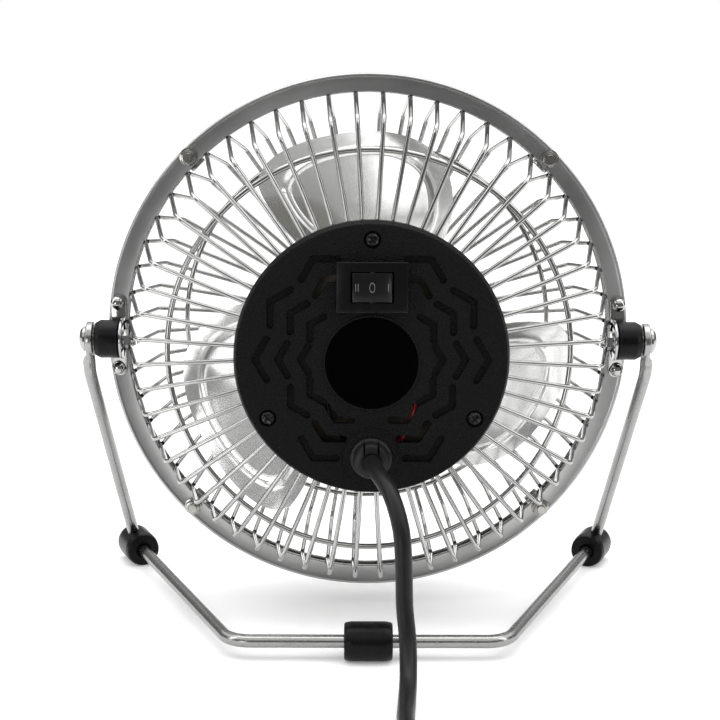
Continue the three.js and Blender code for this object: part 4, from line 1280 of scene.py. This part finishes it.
# ------------------------------------------------------------------ switch
class DESK_FAN_OT_switch(bpy.types.Operator):
    """Adds the switch with its rocker and legends"""

    bl_idname = "desk_fan.switch"
    bl_label = "Switch"

    def execute(self, context):
        low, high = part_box("switch_body")
        centre = middle("switch_body")
        half_wide, half_tall = 6.35 * MM, 4.6 * MM
        bm = bmesh.new()
        block(bm, (low.x, high.y - 1.75 * MM, low.z), (high.x, high.y, high.z), 0.3 * MM, 3)
        block(bm, (low.x + 1.3 * MM, low.y, low.z + 1.3 * MM),
              (high.x - 1.3 * MM, high.y - MM, high.z - 1.3 * MM), 0.2 * MM)
        cutter = bmesh.new()
        block(cutter, (centre.x - half_wide, high.y - 6.0 * MM, centre.z - half_tall),
              (centre.x + half_wide, high.y + MM, centre.z + half_tall), 0.3 * MM, 2)
        bm = carved(bm, cutter)
        piece("switch_bezel", bm, "gloss", "head", ["switch_body"], 30, recalculate=False)
        self.rocker()
        return {"FINISHED"}

    def rocker(self):
        low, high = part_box("switch_rocker")
        pivot = Vector(((low.x + high.x) / 2, high.y - 1.4 * MM, (low.z + high.z) / 2))
        half_tall = 4.3
        angles = [math.pi * k / 16 for k in range(17)]
        top = [(5.8 * math.cos(a), 1.42 - 0.62 * math.sin(a) ** 0.8) for a in angles]
        outline = [(5.86, 0.2), *top, (-5.86, 0.2), (-5.2, -1.6), (-2.5, -3.7), (2.5, -3.7), (5.2, -1.6)]
        bm = bmesh.new()
        corners = [bm.verts.new(pivot + Vector((x, y, -half_tall)) * MM) for x, y in outline]
        face = bm.faces.new(corners)
        made = bmesh.ops.extrude_face_region(bm, geom=[face])["geom"]
        bmesh.ops.translate(bm, vec=(0, 0, 2 * half_tall * MM), verts=corners_of(made))
        flat = [e for e in bm.edges if abs(e.verts[0].co.z - e.verts[1].co.z) < 1e-6]
        round_edges(bm, flat, 0.22 * MM, 2)
        turned(bm, [(0, -5.2), (0.8, -5.2), (0.8, 5.2), (0, 5.2)], pivot, (0, 0, 1), 16)
        piece("rocker", bm, "rocker", "rocker", ["switch_rocker"], 24)
        self.legends(pivot)

    def legends(self, pivot):
        """The printed marks: two bars, a ring and one bar."""
        marks = bmesh.new()
        surface = pivot.y + 0.8 * MM
        for x, lift in ((-4.7, 0.41), (4.1, 0.35), (4.85, 0.43)):
            block(marks, (pivot.x + (x - 0.1) * MM, surface, pivot.z - 1.1 * MM),
                  (pivot.x + (x + 0.1) * MM, surface + (lift + 0.05) * MM, pivot.z + 1.1 * MM))
        face = Vector((pivot.x, surface, pivot.z))
        turned(marks, softened([(1.02, -0.2), (1.26, -0.2), (1.26, 0.08), (1.02, 0.08)], 0.02, 1),
               face, REARWARD, 32, closed=True)
        zero = [v for v in marks.verts if abs(v.co.x - pivot.x) < 1.6 * MM]
        bmesh.ops.scale(marks, vec=(0.66, 1, 1.2), space=Matrix.Translation(-face), verts=zero)
        piece("switch_legends", marks, "legend", "rocker")


# ------------------------------------------------------------------ gland and leads
class DESK_FAN_OT_gland(bpy.types.Operator):
    """Adds the cord's strain relief bushing"""

    bl_idname = "desk_fan.gland"
    bl_label = "Cord gland"

    def execute(self, context):
        low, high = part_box("cord_gland")
        foot, end = along_head(low.y), along_head(high.y)
        centre = Vector((GLAND.x, RIM_REAR, GLAND.z))
        bore = 2.62
        outline = softened([(bore, foot), (4.6, foot), (4.6, COVER_ALONG + 1.1), (6.2, COVER_ALONG + 1.1),
                            (6.2, COVER_ALONG + 2.0), (5.5, COVER_ALONG + 2.4), (5.3, end - 1.3),
                            (4.7, end - 0.3), (3.4, end), (bore, end)], 0.25, 3)
        bm = bmesh.new()
        turned(bm, outline, centre, REARWARD, 64, closed=True)
        cutter = bmesh.new()
        near, far = centre.y + (COVER_ALONG + 2.2) * MM, centre.y + (end + 1) * MM
        for side in (-1, 1):
            x = side * 2.1 * MM
            block(cutter, (centre.x + x - 0.28 * MM, near, centre.z + 2.0 * MM),
                  (centre.x + x + 0.28 * MM, far, centre.z + 8 * MM))
            flat_low = centre.x + (5.4 * MM if side > 0 else -12.4 * MM)
            block(cutter, (flat_low, near, centre.z - 8 * MM), (flat_low + 7 * MM, far, centre.z + 8 * MM))
        bm = carved(bm, cutter)
        piece("gland", bm, "cord", "head", ["cord_gland"], 35, recalculate=False)
        return {"FINISHED"}


class DESK_FAN_OT_leads(bpy.types.Operator):
    """Adds the two leads behind the cover"""

    bl_idname = "desk_fan.leads"
    bl_label = "Inner leads"

    def execute(self, context):
        for name, node, side, finish_name in (
                ("red_lead", "lead_wire_red", -1, "red_lead"),
                ("dark_lead", "lead_wire_black", 1, "black_lead")):
            y = middle(node).y
            corners = [(4.8, -25.5), (9.2, -25.0), (12.4, -18.5), (14, -6), (12, 6), (6, 14.6)]
            route = [Vector((COVER.x + side * x * MM, y, COVER.z + z * MM)) for x, z in corners]
            bm = bmesh.new()
            swept(bm, smooth_path(route, 6), 0.7 * MM, 10)
            piece(name, bm, finish_name, "head", [node], 60)
        return {"FINISHED"}


# ------------------------------------------------------------------ motor and blades
class DESK_FAN_OT_motor(bpy.types.Operator):
    """Adds the motor, its screws and its shaft"""

    bl_idname = "desk_fan.motor"
    bl_label = "Motor"

    def execute(self, context):
        low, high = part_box("motor_can")
        front, back = along_head(low.y), along_head(high.y)
        outside, groove, bore = 17.5, 17.2, 1.5
        can = softened([(bore, front), (4.2, front), (4.2, front + 2), (16.3, front + 2),
                        (outside, front + 3.2), (outside, back - 5), (groove, back - 4.8),
                        (groove, back - 4.2), (outside, back - 4), (outside, back), (bore, back)], 0.3, 3)
        bm = bmesh.new()
        turned(bm, can, HEAD, REARWARD, 96, closed=True)
        for degrees in range(0, 360, 60):
            centre = head_place(11, degrees + 30, 0)
            stud = [(0, front + 1.9), (1.4, front + 1.9), (1.4, front + 2.3), (0.9, front + 2.5),
                    (0, front + 2.5)]
            turned(bm, stud, centre, REARWARD, 20)
        piece("motor", bm, "steel", "head", ["motor_can"], 35)
        for number in (1, 2):
            node = f"motor_screw_{number}"
            low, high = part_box(node)
            seat = Vector((middle(node).x, high.y - 0.5 * MM, middle(node).z))
            screw = cross_screw(seat, REARWARD, 2.0, 0.5, 1.2, (seat.y - low.y) / MM)
            piece(f"motor_screw_piece_{number}", screw, "dark_screw", "head", [node])
        low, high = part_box("motor_shaft")
        first, last = along_head(low.y), along_head(high.y)
        bm = bmesh.new()
        turned(bm, softened([(0, first), (1.2, first), (1.2, last), (0, last)], 0.25, 2), HEAD, REARWARD, 32)
        piece("shaft", bm, "steel", "rotor", ["motor_shaft"])
        return {"FINISHED"}


BLADE_TIP = 64.2
BLADE_LEAD = 35.6
BLADE_TRAIL = 34.0
BLADE_ROOT = 9.5
BLADE_PITCH = 28
BLADE_TURN = 3
RIB_REACH = 0.762
RIB_SPREAD = 0.026


def bezier(start, first, second, end, steps):
    """Points along one cubic run, without its last."""
    points = []
    for k in range(steps):
        t = k / steps
        u = 1 - t
        points.append(start * u ** 3 + first * (3 * u * u * t) + second * (3 * u * t * t) + end * t ** 3)
    return points


def blade_outline(steps):
    """A blade's edge in its own plane: narrow at the hub, broad at its rounded tip."""
    lead, trail, tip, root = BLADE_LEAD, BLADE_TRAIL, BLADE_TIP, BLADE_ROOT
    lead_corner, trail_corner = Vector((lead, tip - 14.5)), Vector((-trail, tip - 24))
    runs = (
        (Vector((7, root)), Vector((9, root + 17)), Vector((lead - 5.6, lead_corner.y - 18)), lead_corner),
        (lead_corner, Vector((lead, tip - 4.5)), Vector((18, tip)), Vector((0, tip))),
        (Vector((0, tip)), Vector((-19, tip)), Vector((-trail, tip - 7)), trail_corner),
        (trail_corner, Vector((-trail, trail_corner.y - 17)), Vector((18 - trail, root + 6)),
         Vector((-7, root))),
        (Vector((-7, root)), Vector((-3, root)), Vector((3, root)), Vector((7, root))))
    return [p for run in runs for p in bezier(*run, steps)]


class DESK_FAN_OT_blades(bpy.types.Operator):
    """Adds the three dished blades, their hub and its cap"""

    bl_idname = "desk_fan.blades"
    bl_label = "Blades and hub"

    def execute(self, context):
        sizes = context.scene.desk_fan_sizes
        cap_low, cap_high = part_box("hub_cap")
        hub_front = along_head(cap_high.y) + 0.3
        hub_back = hub_front + 12
        hub_middle = (hub_front + hub_back) / 2
        bm = bmesh.new()
        for number in range(3):
            self.blade(bm, BLADE_TURN + 120 * number, hub_middle, sizes)
        outline = softened([(1.5, hub_front), (10.2, hub_front), (11, hub_front + 1.4), (11, hub_back),
                            (9.4, hub_back), (9.0, hub_back - 6), (3.2, hub_back - 6), (3.0, hub_back),
                            (1.5, hub_back)], 0.5, 3)
        turned(bm, outline, HEAD, REARWARD, 72, closed=True)
        piece("blades", bm, "aluminium", "rotor", ["fan_blades"], 40)
        cap = bmesh.new()
        front = along_head(cap_low.y)
        angles = [math.pi / 2 * k / 9 for k in range(10)]
        dome = [(6.5 * math.sin(a), front + 5 - 5 * math.cos(a)) for a in angles]
        outline = [*dome, (6.5, front + 5), (1.5, front + 5), (1.5, front + 2.5), (0, front + 2.5)]
        turned(cap, outline, HEAD, REARWARD, 48)
        piece("cap", cap, "gloss", "rotor", ["hub_cap"], 40)
        return {"FINISHED"}

    def blade(self, bm, degrees, hub_middle, sizes):
        """A broad blade, dished, with a rib pressed parallel to its edge."""
        edge = blade_outline(30)
        centre = Vector((0.5, 40))
        reaches = [0.12, 0.3, 0.45, 0.56, 0.64, 0.69, 0.715, 0.735, 0.755, 0.77, 0.785, 0.805, 0.825, 0.85,
                   0.9, 0.94, 0.97, 1.0]
        rings = []
        for reach in reaches:
            rib = math.exp(-((reach - RIB_REACH) / RIB_SPREAD) ** 2) * sizes.rib_height
            dish = sizes.blade_camber * (1 - reach * reach)
            corners = [centre + (p - centre) * reach for p in edge]
            rings.append([bm.verts.new((p.x, dish + rib, p.y)) for p in corners])
        hub = bm.verts.new((centre.x, sizes.blade_camber, centre.y))
        faces = [bm.faces.new((hub, a, b)) for a, b in zip(rings[0], rings[0][1:] + rings[0][:1])]
        for inner, outer in zip(rings, rings[1:]):
            faces += [
                bm.faces.new((a, c, d, b))
                for a, b, c, d in zip(inner, inner[1:] + inner[:1], outer, outer[1:] + outer[:1])]
        before = set(bm.verts) - {v for ring in rings for v in ring} - {hub}
        bmesh.ops.recalc_face_normals(bm, faces=faces)
        bmesh.ops.solidify(bm, geom=faces, thickness=0.8)
        made = [v for v in bm.verts if v not in before]
        place = (Matrix.Translation(HEAD) @ Matrix.Scale(MM, 4) @ Matrix.Translation((0, hub_middle, 0))
                 @ Matrix.Rotation(math.radians(degrees), 4, "Y")
                 @ Matrix.Rotation(math.radians(BLADE_PITCH), 4, "Z"))
        bmesh.ops.transform(bm, matrix=place, verts=made)


# ------------------------------------------------------------------ panel and registration
STEPS = (
    DESK_FAN_OT_stage, DESK_FAN_OT_cord, DESK_FAN_OT_stand, DESK_FAN_OT_feet, DESK_FAN_OT_rim,
    DESK_FAN_OT_rim_screws, DESK_FAN_OT_guards, DESK_FAN_OT_badge, DESK_FAN_OT_pivots, DESK_FAN_OT_cover,
    DESK_FAN_OT_cover_screws, DESK_FAN_OT_switch, DESK_FAN_OT_gland, DESK_FAN_OT_leads, DESK_FAN_OT_motor,
    DESK_FAN_OT_blades,
)


class DESK_FAN_PT_panel(bpy.types.Panel):
    """Lists the fan's pieces and settings"""

    bl_label = "Desk fan"
    bl_idname = "DESK_FAN_PT_panel"
    bl_space_type = "VIEW_3D"
    bl_region_type = "UI"
    bl_category = "Desk fan"

    def draw(self, context):
        for step in STEPS:
            self.layout.operator(step.bl_idname)
        for group in (context.scene.desk_fan_sizes, context.scene.desk_fan_colours):
            for key in group.bl_rna.properties.keys():
                if key not in {"rna_type", "name"}:
                    self.layout.prop(group, key)


CLASSES = (DeskFanSizes, DeskFanColours, *STEPS, DESK_FAN_PT_panel)


def register():
    for entry in CLASSES:
        bpy.utils.register_class(entry)
    bpy.types.Scene.desk_fan_sizes = bpy.props.PointerProperty(type=DeskFanSizes)
    bpy.types.Scene.desk_fan_colours = bpy.props.PointerProperty(type=DeskFanColours)


def unregister():
    del bpy.types.Scene.desk_fan_colours
    del bpy.types.Scene.desk_fan_sizes
    for entry in reversed(CLASSES):
        bpy.utils.unregister_class(entry)


def main():
    """Builds the fan."""
    register()
    for step in STEPS:
        family, name = step.bl_idname.split(".")
        getattr(getattr(bpy.ops, family), name)()


if __name__ == "__main__":
    main()
